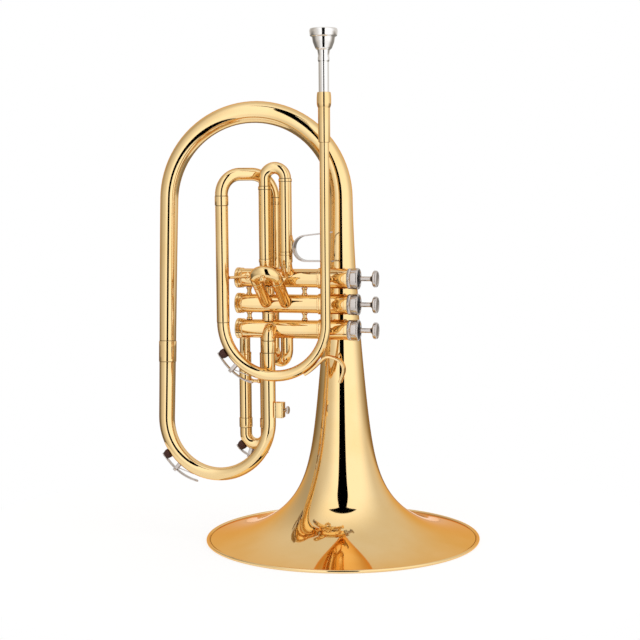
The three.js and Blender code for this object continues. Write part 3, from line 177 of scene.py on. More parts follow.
MOUTH_NECK, MOUTH_NECK_RADIUS = 453.7, 5
MOUTH_BEAD, MOUTH_BEAD_RADIUS = 449.7, 5.3
SHANK_RADIUS, SHANK_END_RADIUS, SHANK_END = 4.75, 4.3, 399
MOUTH_THROAT, MOUTH_BACKBORE = 1.9, 3.5

# Main tuning slide
MAIN_REAR_X, MAIN_REAR_OFFSET = -58.3, 6.5
MAIN_LEAN = radians(32)
MAIN_PORT_BEND = 12
MAIN_TOP = 348.5
MAIN_FRONT_BEND, MAIN_REAR_BEND = 18.5, 22
MAIN_LEG_RADIUS, MAIN_LEG_LENGTH = 5, 38
MAIN_FERRULE_TOP = 328.4

# First valve slide and its thumb saddle
FIRST_MIDDLE, FIRST_PITCH, FIRST_OFFSET = -50.9, 19.6, 12
FIRST_LEAN = radians(48)
FIRST_PORT_BEND = 10
FIRST_BOW_HEIGHT, FIRST_LEFT_RING = 341.7, 334.5
FIRST_SLEEVE_LOWS = (267.9, 274.5)
FIRST_INNER_RADIUS, FIRST_SLEEVE_RADIUS, FIRST_BOW_RADIUS = 4.8, 5.75, 5.45
FIRST_INNER_TOP = 328
FIRST_RING = 2.5
BRACKET_HEIGHT, BRACKET_SPAN, BRACKET_TIP, BRACKET_WIDTH = 284, 18, 9, 7
SADDLE_LEFT, SADDLE_HEIGHT = -33.7, 280.8
SADDLE_RADIUS, SADDLE_THICKNESS, SADDLE_WIDTH, SADDLE_REACH = 11, 1.3, 10.5, 25
SADDLE_SPLAY = radians(7)

# Second valve slide
SECOND_MIDDLE, SECOND_PITCH = -52.1, 18.8
SECOND_PORT_RISE = radians(15)
SECOND_PORT = Vector((0, -cos(SECOND_PORT_RISE), sin(SECOND_PORT_RISE)))
SECOND_PORT_RUN, SECOND_PORT_BEND = 9.5, 9
SECOND_RISE = radians(39.3)
SECOND_WAY = Vector((0, -cos(SECOND_RISE), sin(SECOND_RISE)))
SECOND_TUBE, SECOND_INNER, SECOND_BOW = 5.6, 4.75, 5.6
SECOND_PORT_RADIUS = SECOND_TUBE - 0.15
SECOND_TUBE_END, SECOND_INNER_START, SECOND_BOW_START = 26.7, 1.5, 34.9
SECOND_KNOB, SECOND_KNOB_NECK = 2.3, 1.2

# Third valve slide
THIRD_MIDDLE, THIRD_PITCH = -75.2, 20.3
THIRD_INNER, THIRD_SLEEVE, THIRD_BOW = 4.95, 5.85, 5.6
THIRD_NARROW = THIRD_SLEEVE - 0.15
THIRD_INNER_END, THIRD_SLEEVE_HIGH = 126, 182.5
THIRD_FERRULE = (112, 120.6)
THIRD_BOW_HEIGHT = 105.7
THIRD_BRACE_HEIGHT, THIRD_BRACE_RADIUS = 155.5, 1.6

# Braces and posts
POST_PLACES = (-80.5, -27)
POST_RADIUS, LEAD_POST_RADIUS, BELL_POST_RADIUS = 2.1, 2.6, 2.8
POST_THINNING, POST_SINK = 0.8, 0.6
BRACE_ROD, BRACE_RISE, BRACE_SINK = 1.3, 1.5, 1.2
BRACE_FOOT_X, BRACE_FOOT_SPAN, BRACE_FOOT_HEIGHT, BRACE_FOOT_THICKNESS = -78.7, 9.4, 9, 1.5

# Pinky hook
HOOK_THICKNESS, HOOK_WIDTH = 2.3, 8.5
HOOK_START, HOOK_LEAVE = radians(-58), radians(-47)
HOOK_RUN, HOOK_SHOULDER, HOOK_TIP = 12, 4, 8.5
HOOK_CREST, HOOK_CREST_TURN = 8, radians(58)
HOOK_CURL, HOOK_CURL_TURN = 10.5, radians(95)

# Lyre box
LYRE_HIGH, LYRE_LOW = 138.4, 124.1
LYRE_WIDTH, LYRE_DEPTH = 8, 8.4
LYRE_SLOT_WIDTH, LYRE_SLOT_DEPTH = 4.6, 5.2
LYRE_SCREW, LYRE_HEAD, LYRE_HEAD_LENGTH, LYRE_STANDOFF = 1.6, 3.7, 2.6, 2.2

# Water keys: their cork, pivot and thumb end stand at these angles round their bows
KEY_ANGLES = {
    "bow_key": (215, 229, 252),
    "lead_key": (211, 227, 250),
    "third_key": (219, 252, 300),
}
KEY_WIDTH, KEY_THICKNESS, KEY_LIFT = 4.4, 1.3, 6.3
KEY_CORK, KEY_PIN, KEY_EAR, KEY_BARREL = 3.3, 0.8, 0.9, 1.6
KEY_THUMB, KEY_THUMB_RISE, KEY_RISE_SHARE = 2.6, -1.2, 0.55
KEY_SPRING, KEY_SPRING_SHARE = 0.45, 0.7
KEY_THUMB_SHORT = radians(3)

# Camera, as the photograph was taken, round the bell's axis
CAMERA_PLACE = Vector((345.8, -1368.9, 347.2))
CAMERA_TURN = radians(15)
CAMERA_PITCH = radians(-5.5)
CAMERA_ROLL = radians(0.45)
CAMERA_LENS = 84.7

# Finishes
WHITE = (1, 1, 1, 1)
BRASS_EDGE, BRASS_WEAR = (1, 0.56, 0.21, 1), (0.97, 0.92, 0.82)
POLISH_SCALE, POLISH_VARIATION, WORN_SPREAD, COAT_ROUGHNESS = 24, 0.03, (0.42, 0.72), 0.03

# Tent: the dark slit's half width, low and high, and its vent's, and the light from each side
SLIT_WIDTH, SLIT_HIGH, SLIT_VENT = 0.21, 0.09, 0.38
FRONT_LIGHT, TOP_LIGHT, BACK_LIGHT, LEFT_LIGHT, LOW_LIGHT = 1.3, 0.8, 0.3, 0.6, 0.85

# Where each of these changes: how far a way out of the object points front, left or up
SLIT_NARROWS, SLIT_HORIZON = (0.38, 0.75), (-0.06, -0.01)
SLIT_EDGE, SLIT_BACK = (-0.008, 0.008), (-0.02, 0.02)
VENT_NARROWS, VENT_TOP = (0.3, 0.58), (0.33, 0.345)
REAR_RISE, FRONT_SPREAD = (-0.09, 0.01), (-0.35, 0.5)
LEFT_SPREAD, LOW_SPREAD = (-0.9, -0.3), (-0.5, -0.2)
WARM_SPREAD, WARM_TINT = (0.6, 1.0), (1, 0.93, 0.84, 1)
FLOOR_RADIUS, FLOOR_TONE, FLOOR_GLOW = 0.36, 0.3, 0.76


# Settings

def colour(name, description, *channels):
    """A colour that the user can change."""
    return FloatVectorProperty(
        name=name,
        description=description,
        subtype="COLOR",
        size=4,
        default=(*channels, 1),
        min=0,
        max=1,
    )


class BellSettings(bpy.types.PropertyGroup):
    """Sizes of the bell"""

    rim_radius: FloatProperty(
        name="Rim radius",
        description="From the bell's axis to the outside of its bead",
        default=round((BELL_HIGH.y - BELL_LOW.y) / 2, 4),
        min=0.05,
        max=0.3,
        unit="LENGTH",
    )
    sides: IntProperty(
        name="Sides", description="Faces round the bell", default=BELL_SIDES, min=24, max=512
    )


class FinishSettings(bpy.types.PropertyGroup):
    """Colours of the finishes"""

    brass: colour("Brass", "Colour of polished brass under clear lacquer", 0.87, 0.645, 0.33)
    nickel: colour("Nickel", "Colour of nickel plate", 0.58, 0.53, 0.5)
    silver: colour("Silver", "Colour of silver plate", 0.84, 0.82, 0.8)
    cork: colour("Cork", "Colour of the water keys' corks", 0.075, 0.028, 0.02)
    # The felt colour also paints the ring of shade in each top cap's dish
    felt: colour("Felt", "Colour of the valve felts", 0.05, 0.05, 0.055)
    steel: colour("Steel", "Colour of spring wire", 0.5, 0.5, 0.52)


class StudioSettings(bpy.types.PropertyGroup):
    """Light round the instrument"""

    tent: FloatProperty(
        name="Tent light",
        description="Brightness of the white tent round the instrument",
        default=1.0,
        min=0,
        max=4,
    )


class MellophoneSettings(bpy.types.PropertyGroup):
    """All of the instrument's settings"""

    bell: PointerProperty(type=BellSettings, name="Bell", description="Sizes of the bell")
    finish: PointerProperty(type=FinishSettings, name="Finish", description="Finishes' colours")
    studio: PointerProperty(type=StudioSettings, name="Studio", description="Light of the studio")


def settings():
    """The instrument's settings."""
    return bpy.context.scene.mellophone


# Nodes and finishes

def fill(tree, node, inputs):
    """Sets a node's inputs, or links them where a socket is given."""
    for key, value in inputs.items():
        if isinstance(value, bpy.types.NodeSocket):
            tree.links.new(value, node.inputs[key])
        else:
            node.inputs[key].default_value = value
    return node


def add_node(tree, kind, inputs=None, **options):
    """A shader node with its options set and its inputs set or linked."""
    node = tree.nodes.new("ShaderNode" + kind)
    for option, value in options.items():
        setattr(node, option, value)
    return fill(tree, node, inputs or {})


def blend(tree, factor, low, high):
    """A colour between two others."""
    inputs = {"A": low, "B": high, "Factor": factor}
    return add_node(tree, "Mix", inputs, data_type="RGBA").outputs["Result"]


def new_material(name):
    """A new material's node tree and its Principled shader."""
    material = bpy.data.materials.new(name)
    material.use_nodes = True
    return material.node_tree, material.node_tree.nodes["Principled BSDF"]


def shaded(colour, share):
    return tuple(channel * share for channel in colour[:3]) + (1,)


def polish_group():
    """Faint wipe marks left by polishing, as a roughness and a tone."""
    found = bpy.data.node_groups.get("Polish")
    if found:
        return found
    group = bpy.data.node_groups.new("Polish", "ShaderNodeTree")
    for name, way in (("Roughness", "INPUT"), ("Roughness", "OUTPUT"), ("Tone", "OUTPUT")):
        group.interface.new_socket(name, in_out=way, socket_type="NodeSocketFloat")
    given = group.nodes.new("NodeGroupInput").outputs["Roughness"]
    place = add_node(group, "TexCoord").outputs["Object"]
    inputs = {"Detail": 4, "Scale": POLISH_SCALE, "Vector": place}
    smears = add_node(group, "TexNoise", inputs).outputs["Fac"]
    centred = add_node(group, "Math", {0: smears, 1: 0.5}, operation="SUBTRACT").outputs[0]
    inputs = {0: centred, 1: POLISH_VARIATION, 2: given}
    rough = add_node(group, "Math", inputs, operation="MULTIPLY_ADD", use_clamp=True).outputs[0]
    fill(group, group.nodes.new("NodeGroupOutput"), {"Roughness": rough, "Tone": smears})
    return group


def metal(name, colour, edge, worn, roughness, coat=0):
    """A polished metal whose colour deepens a little where its polish is worn."""
    tree, shader = new_material(name)
    group = add_node(tree, "Group", node_tree=polish_group())
    polish = fill(tree, group, {"Roughness": roughness}).outputs
    low, high = WORN_SPREAD
    inputs = {"From Min": low, "From Max": high, "Value": polish["Tone"]}
    spread = add_node(tree, "MapRange", inputs).outputs["Result"]
    inputs = {
        "Base Color": blend(tree, spread, colour, worn),
        "Roughness": polish["Roughness"],
        "Metallic": 1,
        "Specular Tint": edge,
        "Coat Weight": coat,
        "Coat Roughness": COAT_ROUGHNESS,
    }
    fill(tree, shader, inputs)


def matt(name, colour, scale, grain):
    """A matt fibrous or granular material."""
    tree, shader = new_material(name)
    place = add_node(tree, "TexCoord").outputs["Object"]
    inputs = {"Scale": scale, "Detail": 6, "Vector": place}
    specks = add_node(tree, "TexNoise", inputs).outputs["Fac"]
    tone = blend(tree, specks, shaded(colour, 0.6), shaded(colour, 1.6))
    bump = add_node(tree, "Bump", {"Strength": grain, "Distance": MM, "Height": specks})
    inputs = {"Roughness": 0.9, "Base Color": tone, "Normal": bump.outputs["Normal"]}
    fill(tree, shader, inputs)


FINISHES = {
    "brass": ("Drawn brass", "brass"),
    "bell brass": ("Lacquered brass", "brass"),
    # Painted shade: a dark brass for the bands in the creases at joints and inside the rim's bead
    "tarnish": ("Tarnished brass", "brass"),
    "nickel": ("Nickel plate", "nickel"),
    "silver": ("Silver plate", "silver"),
    "steel": ("Spring steel", "steel"),
    "cork": ("Dark cork", "cork"),
    # Black felt serves the valve felts and the ring of painted shade in each top cap
    "felt": ("Black felt", "cork"),
}


class BuildFinishes(bpy.types.Operator):
    """Makes the brass, nickel, silver, steel, cork and felt"""

    bl_idname = "mellophone.finishes"
    bl_label = "Finishes"

    def execute(self, context):
        if "Lacquered brass" in bpy.data.materials:
            return {"FINISHED"}
        names = ("brass", "nickel", "silver", "steel", "cork", "felt")
        colours = [tuple(getattr(settings().finish, name)) for name in names]
        brass, nickel, silver, steel, cork, felt = colours
        worn = tuple(channel * share for channel, share in zip(brass, BRASS_WEAR)) + (1,)
        metal("Lacquered brass", brass, BRASS_EDGE, worn, 0.045, coat=0.1)
        metal("Drawn brass", brass, BRASS_EDGE, worn, 0.06, coat=0.2)
        # A dark copy of the brass, for the bands of painted shade in creases
        metal("Tarnished brass", shaded(brass, 0.16), BRASS_EDGE, shaded(worn, 0.1), 0.35)
        metal("Nickel plate", nickel, WHITE, shaded(nickel, 0.9), 0.14)
        metal("Silver plate", silver, WHITE, shaded(silver, 0.93), 0.1)
        metal("Spring steel", steel, WHITE, shaded(steel, 0.8), 0.3)
        matt("Dark cork", cork, 900, 0.4)
        matt("Black felt", felt, 1500, 0.6)
        return {"FINISHED"}


# Shapes

def link(name, data):
    """A new object in the scene."""
    made = bpy.data.objects.new(name, data)
    bpy.context.scene.collection.objects.link(made)
    return made


def add(piece, part):
    """Adds a part to a piece's mesh, with its faces pointing out."""
    bmesh.ops.remove_doubles(part, verts=part.verts, dist=1e-4)
    bmesh.ops.recalc_face_normals(part, faces=part.faces)
    if part.calc_volume(signed=True) < 0:
        bmesh.ops.reverse_faces(part, faces=part.faces)
    passing = bpy.data.meshes.new("part")
    part.to_mesh(passing)
    part.free()
    piece.from_mesh(passing)
    bpy.data.meshes.remove(passing)


def publish(name, finish, *parts, body="instrument", replaces=()):
    """Joins parts into a piece in the row frame, and hides the CAD parts that it stands for."""
    piece = bmesh.new()
    for part in parts:
        add(piece, part)
    bmesh.ops.transform(piece, matrix=TO_ROW, verts=piece.verts)
    for face in piece.faces:
        face.smooth = True
    for edge in piece.edges:
        if len(edge.link_faces) != 2 or edge.calc_face_angle() > CREASE:
            edge.smooth = False
    mesh = bpy.data.meshes.new(name)
    piece.to_mesh(mesh)
    piece.free()
    made = link(name, mesh)
    material, slot = FINISHES[finish]
    mesh.materials.append(bpy.data.materials[material])
    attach(made, body)
    if replaces:
        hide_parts(*replaces)
    return made


class Route:
    """A centre line in straights and bends, with the radius at each station."""

    def __init__(self, at, along, radius=1):
        self.at = Vector(at)
        self.along = Vector(along).normalized()
        self.radius = radius
        self.length = 0
        self.lines = []
        self.stations = [self.station()]

    def station(self, ahead=0, radius=None):
        """The place, way, radius and length, here or a little ahead."""
        at = self.at + self.along * ahead
        return [at, self.along.copy(), radius or self.radius, self.length + ahead]

    def straight(self, length, steps=1):
        for _ in range(steps):
            self.at = self.at + self.along * (length / steps)
            self.length += length / steps
            self.stations.append(self.station())
        return self

    def bend(self, radius, angle, side):
        side = Vector(side).normalized()
        start = self.along.copy()
        centre = self.at + side * radius
        steps = max(2, ceil(angle / BEND_STEP))
        for step in range(1, steps + 1):
            turn = angle * step / steps
            self.at = centre - side * radius * cos(turn) + start * radius * sin(turn)
            self.along = (start * cos(turn) + side * sin(turn)).normalized()
            self.length += radius * angle / steps
            self.stations.append(self.station())
        return self

    def line(self, ahead, radius):
        """Notes a joint here, where a thin band of painted shade darkens the crease round the tube.
        """
        self.lines.append(self.station(ahead, radius))
        return self

    def seam(self, places, radius):
        """A narrow sunk line round the tube, at distances ahead of where the route stands."""
        self.stations += [self.station(place, radius - sunk) for place, sunk in places]

    def spigot(self):
        """Carries the tube on inside the piece that it meets, so that no light shows."""
        self.radius -= SPIGOT_DEPTH
        self.stations.append(self.station())
        return self.straight(SPIGOT_LENGTH)

    def socket(self):
        """Starts the tube inside the piece that it leaves."""
        at, along, radius, length = self.stations[0]
        for reach in (0, SPIGOT_LENGTH):
            start = [at - along * reach, along.copy(), radius - SPIGOT_DEPTH, length - reach]
            self.stations.insert(0, start)
        return self

    def step(self, radius, edge=EDGE):
        """Changes the radius at once, over a rounded edge with a seam at its foot."""
        growing = radius > self.radius
        low, high = sorted((self.radius, radius))
        inside = len(self.stations) > 1
        sunk = SEAM_DEPTH if high - low > SEAM_LEAST and inside else 0
        edge = min(edge, (high - low) * 0.8)
        if inside:
            self.line(-LINE_WIDTH / 2 if growing else edge + LINE_WIDTH / 2, low)
        if sunk and growing:
            self.seam(((-SEAM_WIDTH, 0), (-SEAM_WIDTH, sunk), (0, sunk)), low)
        if edge > 0:
            for turn in (QUARTER_TURN * share / 3 for share in range(4)):
                lift, run = sin(turn), 1 - cos(turn)
                if not growing:
                    lift, run = cos(turn), sin(turn)
                at, here = self.at + self.along * edge * run, high - edge + edge * lift
                self.stations.append([at, self.along.copy(), here, self.length])
            if not growing:
                self.seam(((edge, sunk), (edge + SEAM_WIDTH, sunk), (edge + SEAM_WIDTH, 0)), low)
        self.radius = radius
        return self


def frames(stations, reference=Y):
    """A matrix for each station: its ring's plane, size and place."""
    first = stations[0][1]
    normal = Vector(reference)
    if abs(first.dot(normal)) > 0.9:
        normal = X.copy() if abs(first.x) < 0.9 else Z.copy()
    placed = []
    for at, along, radius, _ in stations:
        normal = (normal - along * normal.dot(along)).normalized()
        turn = Matrix((normal, along.cross(normal), along)).transposed().to_4x4()
        placed.append(Matrix.Translation(at) @ turn @ Matrix.Diagonal((radius, radius, 1, 1)))
    return placed


def sweep(part, edges, placed):
    """Extrudes a ring of edges from matrix to matrix, and gives the last ring."""
    for before, after in zip(placed, placed[1:]):
        made = bmesh.ops.extrude_edge_only(part, edges=edges)["geom"]
        verts = {item for item in made if isinstance(item, bmesh.types.BMVert)}
        bmesh.ops.transform(part, matrix=after @ before.inverted(), verts=list(verts))
        edges = [item for item in made if isinstance(item, bmesh.types.BMEdge)]
        edges = [edge for edge in edges if all(vert in verts for vert in edge.verts)]
    return edges


def circle(part, sides, place):
    """Starts a part with a ring round a place, and gives its edges."""
    bmesh.ops.create_circle(part, cap_ends=False, radius=1, segments=sides, matrix=place)
    return part.edges[:]


def tube(route, wall=TUBE_WALL, sides=TUBE_SIDES):
    """A tube along a route, open at both ends and with a bore."""
    part = bmesh.new()
    bore = [[at, along, radius - wall, length] for at, along, radius, length in route.stations]
    placed = frames(route.stations) + frames(bore)[::-1]
    first = circle(part, sides, placed[0])
    last = sweep(part, first, placed)
    bmesh.ops.bridge_loops(part, edges=first + last)
    return part


def painted_joint_shade(name, route, body="instrument"):
    """Thin bands of painted shade round a tube, in the creases where its pieces meet."""
    bands = []
    for at, along, radius, _ in route.lines:
        band = Route(at - along * LINE_WIDTH / 2, along, radius + LINE_LIFT).straight(LINE_WIDTH)
        bands.append(tube(band, LINE_LIFT * 3))
    publish(name, "tarnish", *bands, body=body)


def rod(route, sides=ROD_SIDES, reference=Y):
    """A solid rod along a route."""
    part = bmesh.new()
    placed = frames(route.stations, reference)
    first = circle(part, sides, placed[0])
    for loop in (first, sweep(part, first, placed)):
        bmesh.ops.contextual_create(part, geom=loop)
    return part


def bar(start, end, radius, sides=ROD_SIDES):
    """A straight rod between two points."""
    along = end - start
    return rod(Route(start, along, radius).straight(along.length), sides)


def bevel(part, geom, offset, segments, affect="EDGES"):
    bmesh.ops.bevel(
        part,
        geom=geom[:],
        offset=offset,
        segments=segments,
        profile=0.5,
        affect=affect,
        material=-1,
    )


def strip(route, width, thickness, rounding=0.4):
    """A flat strip with rounded edges along a route, its width along Y."""
    part = bmesh.new()
    bmesh.ops.create_grid(part, x_segments=1, y_segments=1, size=0.5)
    bmesh.ops.scale(part, vec=(width, thickness, 1), verts=part.verts)
    bevel(part, part.verts, min(rounding, thickness * 0.48), 4, "VERTICES")
    placed = frames([[at, along, 1, length] for at, along, _, length in route.stations])
    bmesh.ops.transform(part, matrix=placed[0], verts=part.verts)
    last = sweep(part, [edge for edge in part.edges if edge.is_boundary], placed)
    bmesh.ops.contextual_create(part, geom=last)
    return part


def filleted(profile):
    """Rounds each corner of a profile that gives a fillet: (radius, height, fillet)."""
    points = []
    for index, corner in enumerate(profile):
        here = Vector(corner[:2])
        fillet = corner[2] if len(corner) > 2 else 0
        if not fillet or index in (0, len(profile) - 1):
            points.append(here)
            continue
        before = Vector(profile[index - 1][:2]) - here
        after = Vector(profile[index + 1][:2]) - here
        room = min(fillet, before.length * 0.48, after.length * 0.48)
        start, end = here + before.normalized() * room, here + after.normalized() * room
        for share in (0, 0.2, 0.4, 0.6, 0.8, 1):
            rest = 1 - share
            points.append(start * rest**2 + here * 2 * share * rest + end * share**2)
    return points


def turned(profile, place=Matrix.Identity(4), sides=TURNED_SIDES, closed=True):
    """A turned shape: the profile gives radius and height, and spins about the place's Z."""
    part = bmesh.new()
    ring = list(profile) + ([profile[0]] if closed else [])
    verts = [part.verts.new((point.x, 0, point.y)) for point in filleted(ring)]
    edges = [part.edges.new(pair) for pair in zip(verts, verts[1:])]
    bmesh.ops.spin(
        part,
        geom=verts + edges,
        cent=(0, 0, 0),
        axis=Z,
        angle=FULL_TURN,
        steps=sides,
        use_merge=True,
    )
    bmesh.ops.transform(part, matrix=place, verts=part.verts)
    return part


def stood(at, way):
    """A place whose Z points along a way."""
    return Matrix.Translation(at) @ Z.rotation_difference(way).to_matrix().to_4x4()


def along_x(y, height):
    """The place of a shape turned about an axis that runs along X."""
    return Matrix.Translation((0, y, height)) @ Matrix.Rotation(QUARTER_TURN, 4, "Y")


def knurl(part, low, high, radius, depth, count, place):
    """Cuts a ring of fine grooves into a turned face between two heights."""
    inverse = place.inverted()
    for vert in part.verts:
        local = inverse @ vert.co
        reach = hypot(local.x, local.y)
        if low < local.z < high and reach > radius - depth / 2:
            wave = cos(atan2(local.y, local.x) * count)
            shrink = 1 - depth * (0.5 - 0.5 * wave) / reach
            vert.co = place @ Vector((local.x * shrink, local.y * shrink, local.z))
    return part


def block(low, high):
    """A box with softened edges."""
    part = bmesh.new()
    low, high = Vector(low), Vector(high)
    bmesh.ops.create_cube(part, size=1)
    bmesh.ops.scale(part, vec=high - low, verts=part.verts)
    bmesh.ops.translate(part, vec=(high + low) / 2, verts=part.verts)
    bevel(part, part.edges, 0.4, 3)
    return part


def plate(corners, depth, at, rounding):
    """An upright plate that faces forward, from its outline's corners."""
    part = bmesh.new()
    face = part.faces.new([part.verts.new((x, y, 0)) for x, y in corners])
    made = bmesh.ops.extrude_face_region(part, geom=[face])["geom"]
    lifted = [item for item in made if isinstance(item, bmesh.types.BMVert)]
    bmesh.ops.translate(part, vec=(0, 0, depth), verts=lifted)
    bevel(part, part.edges, rounding, 2)
    place = Matrix.Translation(at) @ Matrix.Rotation(QUARTER_TURN, 4, "X")
    bmesh.ops.transform(part, matrix=place, verts=part.verts)
    return part


def ball(centre, radius):
    part = bmesh.new()
    place, sides = Matrix.Translation(centre), ROD_SIDES
    bmesh.ops.create_uvsphere(
        part, u_segments=sides, v_segments=sides // 2, radius=radius, matrix=place
    )
    return part


def solder(start, along, radius, flare=0.6):
    """The small flared foot of solder where a tube or post meets another."""
    root, high = radius - 0.3, flare * 1.6
    profile = [
        (root, 0),
        (radius + flare, 0, 0.1),
        (radius + flare * 0.35, flare * 0.5, 0.5),
        (radius, high),
        (root, high),
    ]
    return turned(profile, stood(start, along), 32)


def turned_post(start, end, radius):
    """A brace post with a waisted middle and a flared foot at each end."""
    along = Vector(end) - Vector(start)
    reach, foot, waist = along.length, radius * 1.35, radius * 0.95
    profile = [
        (0, 0),
        (foot, 0, 0.3),
        (foot, reach * 0.16, 0.4),
        (waist, reach * 0.3, 0.8),
        (waist, reach * 0.7, 0.8),
        (foot, reach * 0.84, 0.4),
        (foot, reach, 0.3),
        (0, reach),
    ]
    return turned(profile, stood(start, along.normalized()), 32, closed=False)


# Bell

def bead_place():
    """The radius and the height of the middle of the rim's bead."""
    return settings().bell.rim_radius / MM - BEAD_RADIUS, RIM_HEIGHT + BEAD_RADIUS


def bell_radius(height):
    """The bell's outer radius at a height, by three powers: throat, flare and lip."""
    edge, bead = bead_place()
    reach = 1 - max(0, height - bead) / (BELL_SPRING - bead)
    flare = (
        THROAT_SHARE * reach**THROAT_POWER
        + FLARE_SHARE * reach**FLARE_POWER
        + (1 - THROAT_SHARE - FLARE_SHARE) * reach**LIP_POWER
    )
    return STEM_RADIUS + (edge - STEM_RADIUS) * flare


def bell_height(radius):
    """The height at which the bell's outer face has a radius."""
    low, high = bead_place()[1], BELL_SPRING
    for _ in range(40):
        middle = (low + high) / 2
        if bell_radius(middle) > radius:
            low = middle
        else:
            high = middle
    return low


def bell_profile():
    edge, bead = bead_place()
    outer, inner = [], []
    for ring in range(BELL_RINGS, 0, -1):
        height = bead + (BELL_JOINT - bead) * (ring / BELL_RINGS) ** BELL_RING_POWER
        radius = bell_radius(height)
        slope = (bell_radius(height + 0.05) - bell_radius(height - 0.05)) / 0.1
        lean = hypot(1, slope)
        outer.append((radius, height))
        inner.append((radius - BELL_WALL / lean, height + BELL_WALL * slope / lean))
    rim = []
    for turn in range(21):
        angle = BEAD_START * (1 - turn / 10)
        rim.append((edge + BEAD_RADIUS * cos(angle), bead + BEAD_RADIUS * sin(angle)))
    reach = edge - BEAD_RADIUS
    outer = [point for point in outer if point[0] < reach]
    inner = [point for point in reversed(inner) if point[0] < reach]
    return outer + rim + inner


class BuildBell(bpy.types.Operator):
    """Makes the bell with its rolled rim"""

    bl_idname = "mellophone.bell"
    bl_label = "Bell"

    def execute(self, context):
        sides = settings().bell.sides
        publish("bell_shell", "bell brass", turned(bell_profile(), sides=sides), replaces=["bell"])
        # A band of painted shade on the flare along the inside of the rim's bead, where the bead's
        # shadow falls
        outer = bead_place()[0] - BEAD_RADIUS
        inner = outer - BEAD_LINE
        high, low = bell_height(inner) + LINE_LIFT, bell_height(outer) + LINE_LIFT
        line = [(inner, high), (outer, low), (outer, low - 0.2), (inner, high - 0.2)]
        publish("bell_bead_line", "tarnish", turned(line, sides=sides))
        return {"FINISHED"}


# Big loop from valve 3 round to the bell

ARCH_RADIUS = (2 * LOWER_BOW_RADIUS - EXIT_X) / 2
LOOP_STRAIGHT = EXIT_TOP - LOWER_BOW_HEIGHT
LOOP_LOWER = HALF_TURN * LOWER_BOW_RADIUS
LOOP_LEG = BELL_SPRING - LOWER_BOW_HEIGHT
LOOP_ARCH = HALF_TURN * ARCH_RADIUS


def loop_y(length):
    """How far forward the loop stands: it swings back from the exit tube to the bell."""
    share = (length - LOOP_STRAIGHT) / (LOOP_LOWER + LOOP_LEG + LOOP_ARCH)
    share = min(1, max(0, share))
    return EXIT_Y * (1 - share * share * (3 - 2 * share))


def loop_splay(length):
    """How far out the loop's left leg leans."""
    share = (length - LOOP_STRAIGHT - LOOP_LOWER) / (LOOP_LEG + LOOP_ARCH)
    wave = sin(HALF_TURN * min(1, max(0, share)))
    return -LEG_SPLAY * wave * wave


def loop_radius(length):
    """The loop's taper."""
    low = LOOP_STRAIGHT + LOOP_LOWER
    marks = [
        (0, EXIT_RADIUS),
        (LOOP_STRAIGHT + LOOP_LOWER / 2, EXIT_RADIUS),
        (low, LEG_LOW_RADIUS),
        (low + LOOP_LEG, LEG_HIGH_RADIUS),
        (low + LOOP_LEG + LOOP_ARCH / 2, CROWN_RADIUS),
        (low + LOOP_LEG + LOOP_ARCH, STEM_RADIUS),
    ]
    for (start, small), (end, large) in zip(marks, marks[1:]):
        if length <= end:
            return small + (large - small) * (length - start) / (end - start)
    return bell_radius(BELL_SPRING - (length - marks[-1][0]))


def swing(route, base):
    """The tube of a flat loop, once the loop has its swing, its splay and its taper."""
    for station in route.stations + route.lines:
        at, along, radius, length = station
        ahead, behind = length + 2, length - 2
        at.y = loop_y(length)
        at.x += loop_splay(length)
        along.y = (loop_y(ahead) - loop_y(behind)) / 4
        along.x += (loop_splay(ahead) - loop_splay(behind)) / 4
        along.normalize()
        station[2] = loop_radius(length) + radius - base
    return tube(route, LOOP_WALL, LOOP_SIDES)


class BuildLoop(bpy.types.Operator):
    """Makes the lower bow and the big arch that leads into the bell"""

    bl_idname = "mellophone.loop"
    bl_label = "Big loop"

    def execute(self, context):
        low, high = LEG_FERRULE
        lower = Route((EXIT_X, EXIT_Y, EXIT_TOP), DOWN, EXIT_RADIUS)
        lower.straight(LOOP_STRAIGHT, 8).bend(LOWER_BOW_RADIUS, HALF_TURN, LEFT)
        lower.straight(low - SEAT_GAP - LOWER_BOW_HEIGHT, 8).spigot().socket()
        publish("lower_bow_tube", "brass", swing(lower, EXIT_RADIUS), replaces=["lower_bow"])

        base = LEG_HIGH_RADIUS
        ring = base + LEG_FERRULE_GROWTH
        upper = Route((EXIT_X - 2 * LOWER_BOW_RADIUS, 0, low), Z, base)
        upper.length = LOOP_STRAIGHT + LOOP_LOWER + low - LOWER_BOW_HEIGHT
        upper.stations[0][3] = upper.length
        upper.line(-LINE_WIDTH / 2, base).step(ring).straight(high - low, 4).step(base)
        upper.straight(BELL_SPRING - high, 12).bend(ARCH_RADIUS, HALF_TURN, X)
        upper.straight(BELL_SPRING - BELL_JOINT - STEM_FERRULE, 12)
        upper.step(ring).straight(STEM_FERRULE - SEAT_GAP, 4).spigot()
        publish("bell_bow_tube", "brass", swing(upper, base), replaces=["bell_bow"])
        painted_joint_shade("bell_bow_lines", upper)
        return {"FINISHED"}


# Valves

def casing_profile():
    bead, groove = CASING_STEP + CASING_BEAD_WIDTH, CASING_GROOVE
    foot = CASING_BOTTOM + FOOT_LENGTH
    profile = [
        (CASING_BORE, CASING_BOTTOM),
        (FOOT_RADIUS, CASING_BOTTOM, 0.3),
        (FOOT_RADIUS, foot, 0.4),
        (CASING_RADIUS, foot + 0.4, 0.3),
        (CASING_RADIUS, CASING_STEP - groove),
        (SLEEVE_RADIUS + CASING_BEAD, CASING_STEP, 0.35),
        (SLEEVE_RADIUS + CASING_BEAD, bead, 0.35),
        (SLEEVE_RADIUS, bead + groove, 0.1),
    ]
    for start in (CASING_STEP + 5, CASING_TOP - 3.2):
        for rise, sunk in ((0, 0), (0.2, groove), (0.5, groove), (0.7, 0)):
            profile.append((SLEEVE_RADIUS - sunk, start + rise))
    return profile + [(SLEEVE_RADIUS, CASING_TOP, 0.2), (CASING_BORE, CASING_TOP)]


